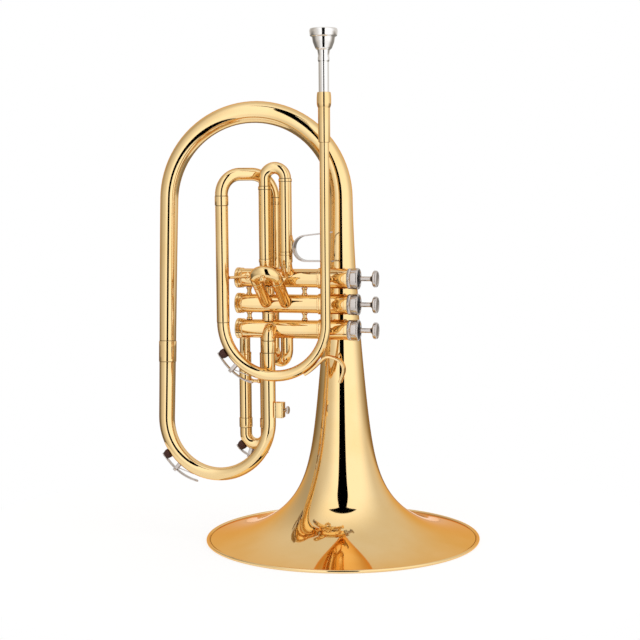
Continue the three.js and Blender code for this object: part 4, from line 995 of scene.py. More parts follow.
def casing_posts(index):
    """The posts that a casing carries: valve 2's to its neighbours, the others' front and back."""
    height = VALVE_HEIGHTS[index]
    posts = []
    if index == 1:
        for x in POST_PLACES:
            for side in (-1, 1):
                start = (x, VALVE_Y, height + side * (CASING_RADIUS - POST_SINK))
                end = (x, VALVE_Y, height + side * (VALVE_PITCH - CASING_RADIUS - SEAT_GAP))
                posts.append(turned_post(start, end, POST_RADIUS))
        return posts
    reach = SLEEVE_RADIUS - POST_SINK
    lead = LEAD_Y + LEAD_MIDDLE_RADIUS + 2 * SEAT_GAP
    stem = -bell_radius(height - BELL_POST_RADIUS) - FERRULE_GROWTH - SEAT_GAP
    for x, start, end, radius in (
        (LEAD_X, VALVE_Y - reach, lead, LEAD_POST_RADIUS),
        (0, VALVE_Y + reach, stem, BELL_POST_RADIUS),
    ):
        posts.append(turned_post((x, start, height), (x, end, height), radius * POST_THINNING))
    return posts


def cap_profile():
    start = CASING_TOP + SEAT_GAP
    end = start + CAP_LENGTH
    edge = CAP_RADIUS - CAP_FACE
    dish, wall = end - CAP_DISH, end - CAP_WALL
    return [
        (CAP_FACE, start),
        (CAP_NECK, start, 0.3),
        (CAP_NECK, start + 0.5),
        (CAP_NECK, start + 2.9, 0.2),
        (CAP_RADIUS, start + 3.5, 0.4),
        (CAP_RADIUS, end - edge * 0.7, 0.8),
        (CAP_RADIUS - edge * 0.35, end, 0.5),
        (CAP_FACE - 0.2, end, 0.4),
        (CAP_FACE - 0.5, dish, 0.4),
        (STEM_HOLE, dish),
        (STEM_HOLE, wall),
        (CAP_FACE, wall),
    ]


def bottom_cap_profile():
    start = CASING_BOTTOM - SEAT_GAP
    end = start - BOTTOM_CAP_LENGTH
    low, inner = end - BOTTOM_KNOB_LENGTH, end + 1.2
    half = (BOTTOM_CAP_RADIUS - CASING_BORE) / 2
    return [
        (BOTTOM_VENT, low, 0.2),
        (BOTTOM_KNOB_RADIUS, low, 0.5),
        (BOTTOM_KNOB_RADIUS + half, end, 0.6),
        (BOTTOM_CAP_RADIUS - half, end, 0.6),
        (BOTTOM_CAP_RADIUS, end + half, 0.6),
        (BOTTOM_CAP_RADIUS, start, 0.2),
        (CASING_BORE, start),
        (CASING_BORE, inner),
        (BOTTOM_VENT, inner),
    ]


CAP_INNER = CASING_TOP + SEAT_GAP * 2 + CAP_LENGTH - CAP_WALL
FELT_TOP = CAP_INNER - 0.3
BASE_TOP = FELT_TOP - FELT_THICKNESS
BASE_LOW = BASE_TOP - STEM_BASE


def button_profile():
    back, base = BUTTON_FACE - BUTTON_THICKNESS, PISTON_RADIUS - 0.3
    return [
        (0, BASE_LOW),
        (base, BASE_LOW, 0.2),
        (base, BASE_TOP, 0.2),
        (VALVE_STEM_RADIUS, BASE_TOP),
        (VALVE_STEM_RADIUS, back - 2.2, 0.8),
        (VALVE_STEM_RADIUS * 1.7, back - 0.6, 0.6),
        (VALVE_STEM_RADIUS * 1.9, back, 0.1),
        (BUTTON_RADIUS - 1.2, back, 0.6),
        (BUTTON_RADIUS, back + 0.9, 0.5),
        (BUTTON_RADIUS, BUTTON_FACE - 1.0, 0.6),
        (BUTTON_RADIUS - 0.9, BUTTON_FACE, 0.5),
        (BUTTON_RADIUS - 1.8, BUTTON_FACE, 0.2),
        (BUTTON_RADIUS - 2.2, BUTTON_FACE - 0.45, 0.3),
        (0, BUTTON_FACE - 0.7),
    ]


def spring_coil(height):
    """A valve spring: its wire is wound from the guide to the stem's base."""
    reach = BASE_LOW - 0.3 - SPRING_START - 2 * SPRING_WIRE
    steps = SPRING_TURNS * SPRING_STEPS
    stations = []
    for step in range(steps + 1):
        angle = FULL_TURN * step / SPRING_STEPS
        outward = Vector((0, cos(angle), sin(angle)))
        around = Vector((0, -sin(angle), cos(angle)))
        start = SPRING_START + SPRING_WIRE + reach * (step / steps)
        at = Vector((start, VALVE_Y, height)) + outward * SPRING_RADIUS
        along = (around * SPRING_RADIUS * FULL_TURN + X * (reach / SPRING_TURNS)).normalized()
        stations.append([at, along, SPRING_WIRE, 0])
    route = Route(stations[0][0], stations[0][1], SPRING_WIRE)
    route.stations = stations
    return rod(route, 8, X)


class BuildValves(bpy.types.Operator):
    """Makes the casings, caps, buttons, felts and springs of the three valves"""

    bl_idname = "mellophone.valves"
    bl_label = "Valves"

    def execute(self, context):
        for index, height in enumerate(VALVE_HEIGHTS):
            self.valve(index, height)
        for pair in (0, 1):
            upper, lower = VALVE_HEIGHTS[pair : pair + 2]
            knuckle = Route((PORT_X, VALVE_Y, upper - PORT_START), DOWN, KNUCKLE_RADIUS)
            parts = [tube(knuckle.straight(VALVE_PITCH - 2 * PORT_START))]
            for centre, way in ((upper, DOWN), (lower, Z)):
                foot = Vector((PORT_X, VALVE_Y, centre)) + way * (CASING_RADIUS - 0.3)
                parts.append(solder(foot, way, KNUCKLE_RADIUS))
            name = f"knuckle_{pair + 1}_{pair + 2}"
            publish(f"{name}_tube", "brass", *parts, replaces=[name])
        return {"FINISHED"}

    def valve(self, index, height):
        number = index + 1
        place = along_x(VALVE_Y, height)
        name, body = f"valve_{number}", f"valve_{number}"
        casing = turned(casing_profile(), place, 96)
        posts = casing_posts(index)
        publish(f"{name}_casing", "brass", casing, *posts, replaces=[f"valve_casing_{number}"])

        start = CASING_TOP + SEAT_GAP
        cap = turned(cap_profile(), place, 240)
        knurl(cap, start + 0.4, start + 3.0, CAP_NECK, 0.35, 60, place)
        publish(f"{name}_top_cap", "nickel", cap, replaces=[f"top_cap_{number}"])
        cap = turned(bottom_cap_profile(), place, 96)
        publish(f"{name}_bottom_cap", "brass", cap, replaces=[f"bottom_cap_{number}"])
        button = turned(button_profile(), place, 64, closed=False)
        publish(f"{name}_button", "nickel", button, body=body, replaces=[f"finger_button_{number}"])

        hole, low = VALVE_STEM_RADIUS + 0.1, BASE_TOP + 0.05
        rim, high = FELT_RADIUS, FELT_TOP
        felt = [(hole, low), (rim, low, 0.6), (rim, high, 0.6), (hole, high)]
        publish(f"{name}_felt", "felt", turned(felt, place, 48), body=body)
        # A black ring set in the cap's dished face: painted shade for the dark recess there
        low, edge = start + CAP_LENGTH - CAP_DISH, CAP_FACE - 0.8
        high = low + SHADE_RING_THICKNESS
        shade_ring = [(SHADE_RING_HOLE, low), (edge, low, 0.2), (edge, high, 0.4), (SHADE_RING_HOLE, high, 0.3)]
        publish(f"{name}_washer", "felt", turned(shade_ring, place, 64))

        coil = spring_coil(height)
        spring = publish(f"{name}_spring", "steel", coil, replaces=[f"valve_spring_{number}"])
        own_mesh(spring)


# Leadpipe, receiver and mouthpiece

LEAD_END_X = LEAD_X - 2 * LEAD_LOOP
LEAD_CENTRE = Vector((LEAD_X - LEAD_LOOP, LEAD_Y, LEAD_LOOP_HEIGHT))


def leadpipe_route():
    last = LEAD_RADIUS - 0.2
    route = Route((LEAD_X, LEAD_Y, LEAD_TOP), DOWN, LEAD_TOP_RADIUS)
    route.straight(LEAD_TOP - LEAD_MIDDLE, 8).straight(LEAD_MIDDLE - LEAD_LOOP_HEIGHT, 4)
    start = route.length
    route.bend(LEAD_LOOP, HALF_TURN, LEFT)
    bend = route.length - start
    for station in route.stations:
        length = station[3]
        if length < start:
            share = min(1, length / (LEAD_TOP - LEAD_MIDDLE))
            station[2] = LEAD_TOP_RADIUS + (LEAD_MIDDLE_RADIUS - LEAD_TOP_RADIUS) * share
        else:
            share = (length - start) / bend
            station[2] = LEAD_MIDDLE_RADIUS + (last - LEAD_MIDDLE_RADIUS) * share
    route.radius = last
    route.step(LEAD_RADIUS, 0.15).straight(LEAD_END - LEAD_LOOP_HEIGHT - 0.4)
    return route.step(LEAD_RADIUS - 0.3, 0.25).straight(0.4)


def receiver_profile():
    return [
        (LEAD_TOP_RADIUS + SEAT_GAP, RECEIVER_LOW),
        (RECEIVER_SLEEVE, RECEIVER_LOW, 0.3),
        (RECEIVER_SLEEVE, RECEIVER_RING - 0.4, 0.2),
        (RECEIVER_SLEEVE + 0.4, RECEIVER_RING, 0.2),
        (RECEIVER_BARREL, RECEIVER_RING + 2.6, 2),
        (RECEIVER_BARREL, RECEIVER_HIGH - 4, 2),
        (RECEIVER_MOUTH, RECEIVER_HIGH, 0.6),
        (SHANK_RADIUS + SEAT_GAP, RECEIVER_HIGH, 0.1),
        (SHANK_END_RADIUS + TUBE_WALL, SHANK_END),
        (LEAD_TOP_RADIUS + SEAT_GAP, SHANK_END - 4),
    ]


def mouthpiece_profile():
    half = MOUTH_RIM_ROUND / 2
    width, depth = MOUTH_INNER - MOUTH_THROAT, MOUTH_CUP_DEPTH - half
    cup = []
    for step in range(MOUTH_CUP_STEPS, -1, -1):
        angle = QUARTER_TURN * step / MOUTH_CUP_STEPS
        cup.append((MOUTH_THROAT + width * cos(angle), MOUTH_TOP - half - depth * sin(angle)))
    return [
        (MOUTH_INNER + half, MOUTH_TOP, 0.9),
        (MOUTH_RIM_RADIUS - 0.6, MOUTH_TOP, 1.2),
        (MOUTH_RIM_RADIUS, MOUTH_TOP - 2.2, 0.8),
        (MOUTH_RIM_RADIUS - 0.5, MOUTH_COLLAR + 0.7, 0.7),
        (MOUTH_CUP_RADIUS + 0.4, MOUTH_COLLAR - 0.1, 0.4),
        (MOUTH_CUP_RADIUS + 0.1, MOUTH_COLLAR - 1.6, 1),
        (MOUTH_CUP_RADIUS - 0.5, MOUTH_COLLAR - 4.6, 2),
        (MOUTH_FOOT_RADIUS + 1.3, MOUTH_CUP_FOOT + 0.8, 1.5),
        (MOUTH_FOOT_RADIUS + 0.3, MOUTH_CUP_FOOT - 0.3, 0.4),
        (MOUTH_FOOT_RADIUS - 0.6, MOUTH_CUP_FOOT - 0.9, 0.3),
        (MOUTH_NECK_RADIUS + 0.2, MOUTH_NECK + 0.6, 0.8),
        (MOUTH_NECK_RADIUS, MOUTH_BEAD + half + 1.4, 0.5),
        (MOUTH_BEAD_RADIUS, MOUTH_BEAD + half, 0.5),
        (MOUTH_BEAD_RADIUS, MOUTH_BEAD - half, 0.5),
        (SHANK_RADIUS, MOUTH_BEAD - half - 1.2, 0.4),
        (SHANK_RADIUS - 0.05, RECEIVER_HIGH, 0.1),
        (SHANK_END_RADIUS, SHANK_END, 0.3),
        (MOUTH_BACKBORE, SHANK_END, 0.2),
        *cup,
    ]


class BuildLeadpipe(bpy.types.Operator):
    """Makes the leadpipe, the mouthpiece receiver and the mouthpiece"""

    bl_idname = "mellophone.leadpipe"
    bl_label = "Leadpipe"

    def execute(self, context):
        route = leadpipe_route()
        publish("leadpipe_tube", "brass", tube(route), replaces=["leadpipe"])
        foot = Vector((LEAD_X, LEAD_Y, RECEIVER_LOW))
        route.lines.append([foot, DOWN, LEAD_TOP_RADIUS + 0.1, 0])
        painted_joint_shade("leadpipe_lines", route)
        place = Matrix.Translation((LEAD_X, LEAD_Y, 0))
        receiver = turned(receiver_profile(), place)
        publish("receiver_barrel", "brass", receiver, replaces=["mouthpiece_receiver"])
        cup = turned(mouthpiece_profile(), place, 96)
        publish("mouthpiece_cup", "silver", cup, body="mouthpiece_body", replaces=["mouthpiece"])
        return {"FINISHED"}


# Main tuning slide

def leaning_port(x, way, offset, lean, turn, radius):
    """An elbow out of valve 1's upper side that leans out, then stands a leg upright."""
    run = (offset - turn * (1 - cos(lean))) / sin(lean)
    side = (Z - way * cos(lean)).normalized()
    at = Vector((x, VALVE_Y, VALVE_HEIGHTS[0])) + way * PORT_START
    return Route(at, way, radius).straight(run - PORT_START).bend(turn, lean, side)


def port_foot(x, index, way, radius):
    """The solder round a port, at its valve's casing."""
    foot = Vector((x, VALVE_Y, VALVE_HEIGHTS[index])) + way * PORT_FOOT
    return solder(foot, way, radius)


FRONT_UP = Vector((0, -sin(FIRST_LEAN), cos(FIRST_LEAN)))
BACK_UP = Vector((0, sin(MAIN_LEAN), cos(MAIN_LEAN)))


class BuildMainSlide(bpy.types.Operator):
    """Makes the main tuning slide and the tube that it feeds"""

    bl_idname = "mellophone.main_slide"
    bl_label = "Main tuning slide"

    def execute(self, context):
        front = Vector((LEAD_END_X, LEAD_Y, 0))
        rear = Vector((MAIN_REAR_X, VALVE_Y + MAIN_REAR_OFFSET, 0))
        across = (rear - front).normalized()
        low = LEAD_END + SEAT_GAP * 2
        ring = LEAD_RADIUS + FERRULE_GROWTH / 2
        route = Route(front + Z * (low - MAIN_LEG_LENGTH), Z, MAIN_LEG_RADIUS)
        route.straight(MAIN_LEG_LENGTH).step(ring)
        route.straight(MAIN_FERRULE_TOP - low).step(LEAD_RADIUS)
        route.straight(MAIN_TOP - MAIN_FRONT_BEND - MAIN_FERRULE_TOP)
        route.bend(MAIN_FRONT_BEND, QUARTER_TURN, across)
        route.straight((rear - front).length - MAIN_FRONT_BEND - MAIN_REAR_BEND)
        route.bend(MAIN_REAR_BEND, QUARTER_TURN, DOWN)
        route.step(ring).straight(MAIN_TOP - MAIN_REAR_BEND - low).step(MAIN_LEG_RADIUS)
        route.straight(MAIN_LEG_LENGTH)
        publish("main_slide", "brass", tube(route), body="main_slide", replaces=["main_slide_bow"])
        painted_joint_shade("main_slide_lines", route, "main_slide")

        inlet = leaning_port(
            MAIN_REAR_X, BACK_UP, MAIN_REAR_OFFSET, MAIN_LEAN, MAIN_PORT_BEND, LEAD_RADIUS
        )
        inlet.straight(LEAD_END - inlet.at.z)
        foot = port_foot(MAIN_REAR_X, 0, BACK_UP, LEAD_RADIUS)
        publish("inlet_pipe", "brass", tube(inlet), foot, replaces=["inlet_tube"])
        return {"FINISHED"}


# First valve slide

def legs(middle, pitch):
    """The places across of a slide's two legs."""
    return [middle + side * pitch / 2 for side in (-1, 1)]


SIDES = ("left", "right")
FIRST_LEGS = legs(FIRST_MIDDLE, FIRST_PITCH)
FIRST_Y = VALVE_Y - FIRST_OFFSET
FIRST_HIGHS = (FIRST_LEFT_RING, FIRST_BOW_HEIGHT)


class BuildFirstSlide(bpy.types.Operator):
    """Makes the first valve slide and its thumb saddle"""

    bl_idname = "mellophone.first_slide"
    bl_label = "First slide"

    def execute(self, context):
        ferrule = FIRST_SLEEVE_RADIUS + FERRULE_GROWTH / 2
        body = "first_slide"
        bow = Route((FIRST_LEGS[0], FIRST_Y, FIRST_LEFT_RING), Z, ferrule)
        bow.straight(FIRST_RING).step(FIRST_BOW_RADIUS)
        bow.straight(FIRST_BOW_HEIGHT - FIRST_LEFT_RING)
        bow.bend(FIRST_PITCH / 2, HALF_TURN, X).step(ferrule).straight(FIRST_RING - SEAT_GAP)
        for name, x, low, high in zip(SIDES, FIRST_LEGS, FIRST_SLEEVE_LOWS, FIRST_HIGHS):
            port = leaning_port(x, FRONT_UP, FIRST_OFFSET, FIRST_LEAN, FIRST_PORT_BEND, PORT_RADIUS)
            port.step(ferrule).straight(low - SEAT_GAP * 2 - port.at.z).step(FIRST_INNER_RADIUS)
            parts = [tube(port.straight(FIRST_INNER_TOP - port.at.z))]
            parts.append(port_foot(x, 0, FRONT_UP, PORT_RADIUS))
            publish(f"first_inner_{name}", "brass", *parts, replaces=[f"first_slide_inner_{name}"])

            sleeve = Route((x, FIRST_Y, low), Z, ferrule - EDGE)
            sleeve.step(ferrule).straight(FIRST_RING).step(FIRST_SLEEVE_RADIUS)
            sleeve.straight(high - SEAT_GAP * 2 - low - FIRST_RING).spigot()
            parts = [tube(sleeve, ferrule - EDGE - FIRST_INNER_RADIUS - SLIDE_GAP)]
            if name == "right":
                parts.append(self.bracket(x))
            node = f"first_slide_sleeve_{name}"
            publish(f"first_sleeve_{name}", "brass", *parts, body=body, replaces=[node])
            for height, radius in ((low + FIRST_RING + EDGE, FIRST_SLEEVE_RADIUS), (high, ferrule)):
                bow.lines.append([Vector((x, FIRST_Y, height)), Z, radius, 0])
        publish("first_bow", "brass", tube(bow), body=body, replaces=["first_slide_bow"])
        painted_joint_shade("first_slide_lines", bow, body)
        self.saddle()
        return {"FINISHED"}

    def bracket(self, x):
        """The plate between the right sleeve and the saddle."""
        reach = SADDLE_LEFT - SEAT_GAP - x
        root = FIRST_SLEEVE_RADIUS - 0.4
        half = BRACKET_TIP / 2
        corners = [
            (root, -BRACKET_SPAN / 2),
            (reach - 1, -half),
            (reach, 1 - half),
            (reach, half - 1),
            (reach - 1, half),
            (root, BRACKET_SPAN / 2),
        ]
        at = (x, FIRST_Y + BRACKET_WIDTH / 2, BRACKET_HEIGHT)
        return plate(corners, BRACKET_WIDTH, at, 0.5)

    def saddle(self):
        radius = SADDLE_RADIUS + SADDLE_THICKNESS / 2
        centre = Vector((SADDLE_LEFT + SADDLE_THICKNESS / 2 + radius, FIRST_Y, SADDLE_HEIGHT))
        lip = Vector((cos(SADDLE_SPLAY), 0, sin(SADDLE_SPLAY)))
        inward = Vector((lip.z, 0, -lip.x))
        end = centre - inward * radius + lip * SADDLE_REACH
        route = Route(end, -lip).straight(SADDLE_REACH, 4)
        route.bend(radius, HALF_TURN - SADDLE_SPLAY, inward).straight(SADDLE_REACH, 4)
        made = strip(route, SADDLE_WIDTH, SADDLE_THICKNESS, 0.6)
        publish("saddle", "nickel", made, body="first_slide", replaces=["thumb_saddle"])


# Second valve slide

SECOND_LEGS = legs(SECOND_MIDDLE, SECOND_PITCH)


class BuildSecondSlide(bpy.types.Operator):
    """Makes the second valve slide, which slants up and forward"""

    bl_idname = "mellophone.second_slide"
    bl_label = "Second slide"

    def execute(self, context):
        foot = self.elbow(SECOND_LEGS[0]).at
        for name, x in zip(SIDES, SECOND_LEGS):
            outer = self.elbow(x).straight(SECOND_TUBE_END - 3).step(SECOND_TUBE, 0.12).straight(3)
            parts = [tube(outer, SECOND_TUBE - SECOND_INNER - SLIDE_GAP)]
            parts.append(port_foot(x, 1, SECOND_PORT, SECOND_PORT_RADIUS))
            publish(f"second_tube_{name}", "brass", *parts, replaces=[f"second_slide_tube_{name}"])

        ring, start = SECOND_TUBE + 0.15, SECOND_TUBE_END + SEAT_GAP * 2
        leg, half = start - SECOND_INNER_START, (SECOND_BOW_START - start) / 2
        route = Route(foot + SECOND_WAY * SECOND_INNER_START, SECOND_WAY, SECOND_INNER)
        route.straight(leg).step(ring).straight(half).step(SECOND_BOW).straight(half)
        route.bend(SECOND_PITCH / 2, HALF_TURN, X)
        route.straight(half).step(ring).straight(half).step(SECOND_INNER).straight(leg)
        crown = Vector((SECOND_MIDDLE, foot.y, foot.z))
        crown += SECOND_WAY * (SECOND_BOW_START + SECOND_PITCH / 2)
        profile = [
            (0, SECOND_BOW - 0.4),
            (SECOND_KNOB_NECK * 1.6, SECOND_BOW - 0.3, 0.3),
            (SECOND_KNOB_NECK, SECOND_BOW + 0.7, 0.4),
            (SECOND_KNOB, SECOND_BOW + 1.5, 0.9),
            (SECOND_KNOB, SECOND_BOW + 3.6, 0.9),
            (SECOND_KNOB * 0.6, SECOND_BOW + 4.5, 0.6),
            (0, SECOND_BOW + 4.6),
        ]
        under = X.cross(SECOND_WAY).normalized()
        parts = [tube(route), turned(profile, stood(crown, under), 32, closed=False)]
        publish("second_bow", "brass", *parts, body="second_slide", replaces=["second_slide_bow"])
        painted_joint_shade("second_slide_lines", route, "second_slide")
        return {"FINISHED"}

    def elbow(self, x):
        """A port out of valve 2's front, with the elbow that turns it up along the slide."""
        side = (Z - SECOND_PORT * sin(SECOND_PORT_RISE)).normalized()
        at = Vector((x, VALVE_Y, VALVE_HEIGHTS[1])) + SECOND_PORT * PORT_START
        route = Route(at, SECOND_PORT, SECOND_PORT_RADIUS).straight(SECOND_PORT_RUN - PORT_START)
        return route.bend(SECOND_PORT_BEND, SECOND_RISE - SECOND_PORT_RISE, side)


# Third valve slide

THIRD_LEGS = legs(THIRD_MIDDLE, THIRD_PITCH)


class BuildThirdSlide(bpy.types.Operator):
    """Makes the third valve slide, which hangs down behind the lower bow"""

    bl_idname = "mellophone.third_slide"
    bl_label = "Third slide"

    def execute(self, context):
        body = "third_slide"
        ferrule_low, ferrule_high = THIRD_FERRULE
        run = ferrule_high - ferrule_low
        top = VALVE_HEIGHTS[2] - PORT_START
        for name, x in zip(SIDES, THIRD_LEGS):
            start = Vector((x, VALVE_Y, top))
            inner = Route(start, DOWN, THIRD_INNER).straight(start.z - THIRD_INNER_END)
            parts = [tube(inner), port_foot(x, 2, DOWN, THIRD_INNER)]
            publish(f"third_inner_{name}", "brass", *parts, replaces=[f"third_slide_inner_{name}"])
            sleeve = Route((x, VALVE_Y, THIRD_SLEEVE_HIGH), DOWN, THIRD_SLEEVE)
            sleeve.straight(2).step(THIRD_NARROW, 0.1)
            sleeve.straight(THIRD_SLEEVE_HIGH - 2 - ferrule_high - SEAT_GAP * 2)
            parts = [tube(sleeve, THIRD_NARROW - THIRD_INNER - SLIDE_GAP)]
            if name == "left":
                start = (x + THIRD_SLEEVE - 0.4, VALVE_Y, THIRD_BRACE_HEIGHT)
                end = (THIRD_LEGS[1] - THIRD_SLEEVE - SEAT_GAP, VALVE_Y, THIRD_BRACE_HEIGHT)
                parts.append(turned_post(start, end, THIRD_BRACE_RADIUS))
            node = f"third_slide_sleeve_{name}"
            publish(f"third_sleeve_{name}", "brass", *parts, body=body, replaces=[node])
        ring = THIRD_SLEEVE + FERRULE_GROWTH / 2
        drop = ferrule_low - THIRD_BOW_HEIGHT
        bow = Route((THIRD_LEGS[0], VALVE_Y, ferrule_high), DOWN, ring - EDGE)
        bow.step(ring).straight(run).step(THIRD_BOW).straight(drop)
        bow.bend(THIRD_PITCH / 2, HALF_TURN, X).straight(drop).step(ring).straight(run)
        publish("third_bow", "brass", tube(bow), body=body, replaces=["third_slide_bow"])
        painted_joint_shade("third_slide_lines", bow, body)
        return {"FINISHED"}


# Tubes between the valves and the loop

class BuildValveTubes(bpy.types.Operator):
    """Makes the exit elbow and the crossover bow"""

    bl_idname = "mellophone.valve_tubes"
    bl_label = "Valve tubes"

    def execute(self, context):
        height = VALVE_HEIGHTS[2]
        ring = EXIT_RADIUS + FERRULE_GROWTH
        high = EXIT_TOP + SEAT_GAP * 2 + EXIT_FERRULE
        start = Vector((EXIT_X, VALVE_Y, height))
        elbow = Route(start, FRONT, EXIT_RADIUS).straight(VALVE_Y - EXIT_Y - EXIT_ELBOW)
        elbow.bend(EXIT_ELBOW, QUARTER_TURN, DOWN)
        elbow.straight(max(0, elbow.at.z - high) + SEAT_GAP).step(ring)
        elbow.straight(elbow.at.z - EXIT_TOP - SEAT_GAP * 2).step(ring - EDGE)
        parts = [tube(elbow), solder(start + FRONT * PORT_START, FRONT, EXIT_RADIUS, 0.7)]
        publish("exit_pipe", "brass", *parts, replaces=["exit_elbow"])
        foot = Vector((EXIT_X, EXIT_Y, EXIT_TOP - LINE_WIDTH / 2))
        elbow.lines.append([foot, DOWN, EXIT_RADIUS, 0])
        painted_joint_shade("exit_pipe_lines", elbow)

        across = CROSS_RIGHT - CROSS_LEFT
        start = Vector((CROSS_LEFT.x, VALVE_Y + PORT_START, VALVE_HEIGHTS[1]))
        bow = Route(start, Y, CROSS_RADIUS).straight(CROSS_LEFT.y - CROSS_ELBOW - start.y)
        bow.bend(CROSS_ELBOW, QUARTER_TURN, DOWN)
        bow.straight(bow.at.z - CROSS_LEFT.z, 4).bend(across.length / 2, HALF_TURN, across)
        bow.straight(height - PORT_START - CROSS_LEFT.z)
        parts = [tube(bow), solder(start, Y, CROSS_RADIUS)]
        publish("crossover_pipe", "brass", *parts, replaces=["crossover_bow"])
        return {"FINISHED"}


# Brace, hook and lyre box

class BuildFittings(bpy.types.Operator):
    """Makes the leadpipe brace, the pinky hook and the lyre box"""

    bl_idname = "mellophone.fittings"
    bl_label = "Fittings"

    def execute(self, context):
        self.brace()
        self.hook()
        self.lyre()
        return {"FINISHED"}

    def brace(self):
        height = VALVE_HEIGHTS[0] + BRACE_RISE
        foot_y = VALVE_Y - CASING_RADIUS - SEAT_GAP
        end = Vector((BRACE_FOOT_X, foot_y - BRACE_ROD, height))
        leg = Vector((LEAD_END_X, LEAD_Y, height))
        along = (end - leg).normalized()
        start = leg + along * (LEAD_RADIUS + SEAT_GAP)
        wide, tall = BRACE_FOOT_SPAN / 2, BRACE_FOOT_HEIGHT / 2
        corners = [(-wide, 0), (0, -tall), (wide, 0), (0, tall)]
        at = (BRACE_FOOT_X, foot_y + BRACE_SINK, height)
        parts = [
            bar(start, end, BRACE_ROD),
            plate(corners, BRACE_FOOT_THICKNESS + BRACE_SINK, at, 0.35),
            ball(end, BRACE_ROD * 1.35),
            solder(start, along, BRACE_ROD, 0.8),
        ]
        publish("brace_rod", "brass", *parts, replaces=["leadpipe_brace"])

    def hook(self):
        share = -HOOK_START / HALF_TURN
        local = LEAD_MIDDLE_RADIUS + (LEAD_RADIUS - LEAD_MIDDLE_RADIUS) * share
        reach = LEAD_LOOP + local + SEAT_GAP / 2 + HOOK_THICKNESS / 2
        outward = Vector((cos(HOOK_START), 0, sin(HOOK_START)))
        along = Vector((-sin(HOOK_START), 0, cos(HOOK_START)))
        route = Route(LEAD_CENTRE + outward * reach, along)
        route.bend(reach, HOOK_LEAVE - HOOK_START, -outward).straight(HOOK_RUN, 4)
        for radius, angle, run in (
            (HOOK_CREST, HOOK_CREST_TURN, HOOK_SHOULDER),
            (HOOK_CURL, HOOK_CURL_TURN, HOOK_TIP),
        ):
            route.bend(radius, angle, -route.along.cross(Y)).straight(run, 2)
        made = strip(route, HOOK_WIDTH, HOOK_THICKNESS, 0.8)
        publish("hook", "brass", made, replaces=["pinky_hook"])

    def lyre(self):
        edge = EXIT_X + EXIT_RADIUS
        left, right = edge - 0.5, edge + 0.3 + LYRE_WIDTH
        middle = right - LYRE_WIDTH / 2
        sides = LYRE_SLOT_WIDTH / 2
        depth, slot = LYRE_DEPTH / 2, LYRE_SLOT_DEPTH / 2
        walls = [
            block((x, EXIT_Y + y, LYRE_LOW), (end_x, EXIT_Y + end_y, LYRE_HIGH))
            for x, y, end_x, end_y in (
                (left, -depth, middle - sides, depth),
                (middle + sides, -depth, right, depth),
                (left + 1, -depth, right - 0.3, -slot),
                (left + 1, slot, right - 0.3, depth),
            )
        ]
        publish("lyre_socket", "brass", *walls, replaces=["lyre_box"])
        tip, head = middle + sides + 0.3, right + LYRE_STANDOFF
        end = head + LYRE_HEAD_LENGTH
        profile = [
            (0, tip),
            (LYRE_SCREW, tip, 0.3),
            (LYRE_SCREW, head - 0.6, 0.4),
            (LYRE_HEAD - 0.8, head, 0.4),
            (LYRE_HEAD, head + 0.5, 0.3),
            (LYRE_HEAD, end - 0.5, 0.3),
            (LYRE_HEAD - 0.7, end, 0.4),
            (0, end - 0.2),
        ]
        place = along_x(EXIT_Y, (LYRE_HIGH + LYRE_LOW) / 2)
        screw = turned(profile, place, 120, closed=False)
        knurl(screw, head + 0.6, end - 0.6, LYRE_HEAD, 0.4, 24, place)
        name = "lyre_thumbscrew"
        publish(name, "nickel", screw, body=name, replaces=["lyre_screw"])


# Water keys

def key_seats():
    """Each key's bow: its name, centre, radius, tube radius and body."""
    length = LOOP_STRAIGHT + LOWER_BOW_RADIUS * (FULL_TURN - radians(KEY_ANGLES["bow_key"][0]))
    lower = Vector((EXIT_X - LOWER_BOW_RADIUS, loop_y(length), LOWER_BOW_HEIGHT))
    third = Vector((THIRD_MIDDLE, VALVE_Y, THIRD_BOW_HEIGHT))
    return [
        ("bow_key", lower, LOWER_BOW_RADIUS, loop_radius(length), "instrument"),
        ("lead_key", LEAD_CENTRE, LEAD_LOOP, LEAD_RADIUS, "instrument"),
        ("third_key", third, THIRD_PITCH / 2, THIRD_BOW, "third_slide"),
    ]


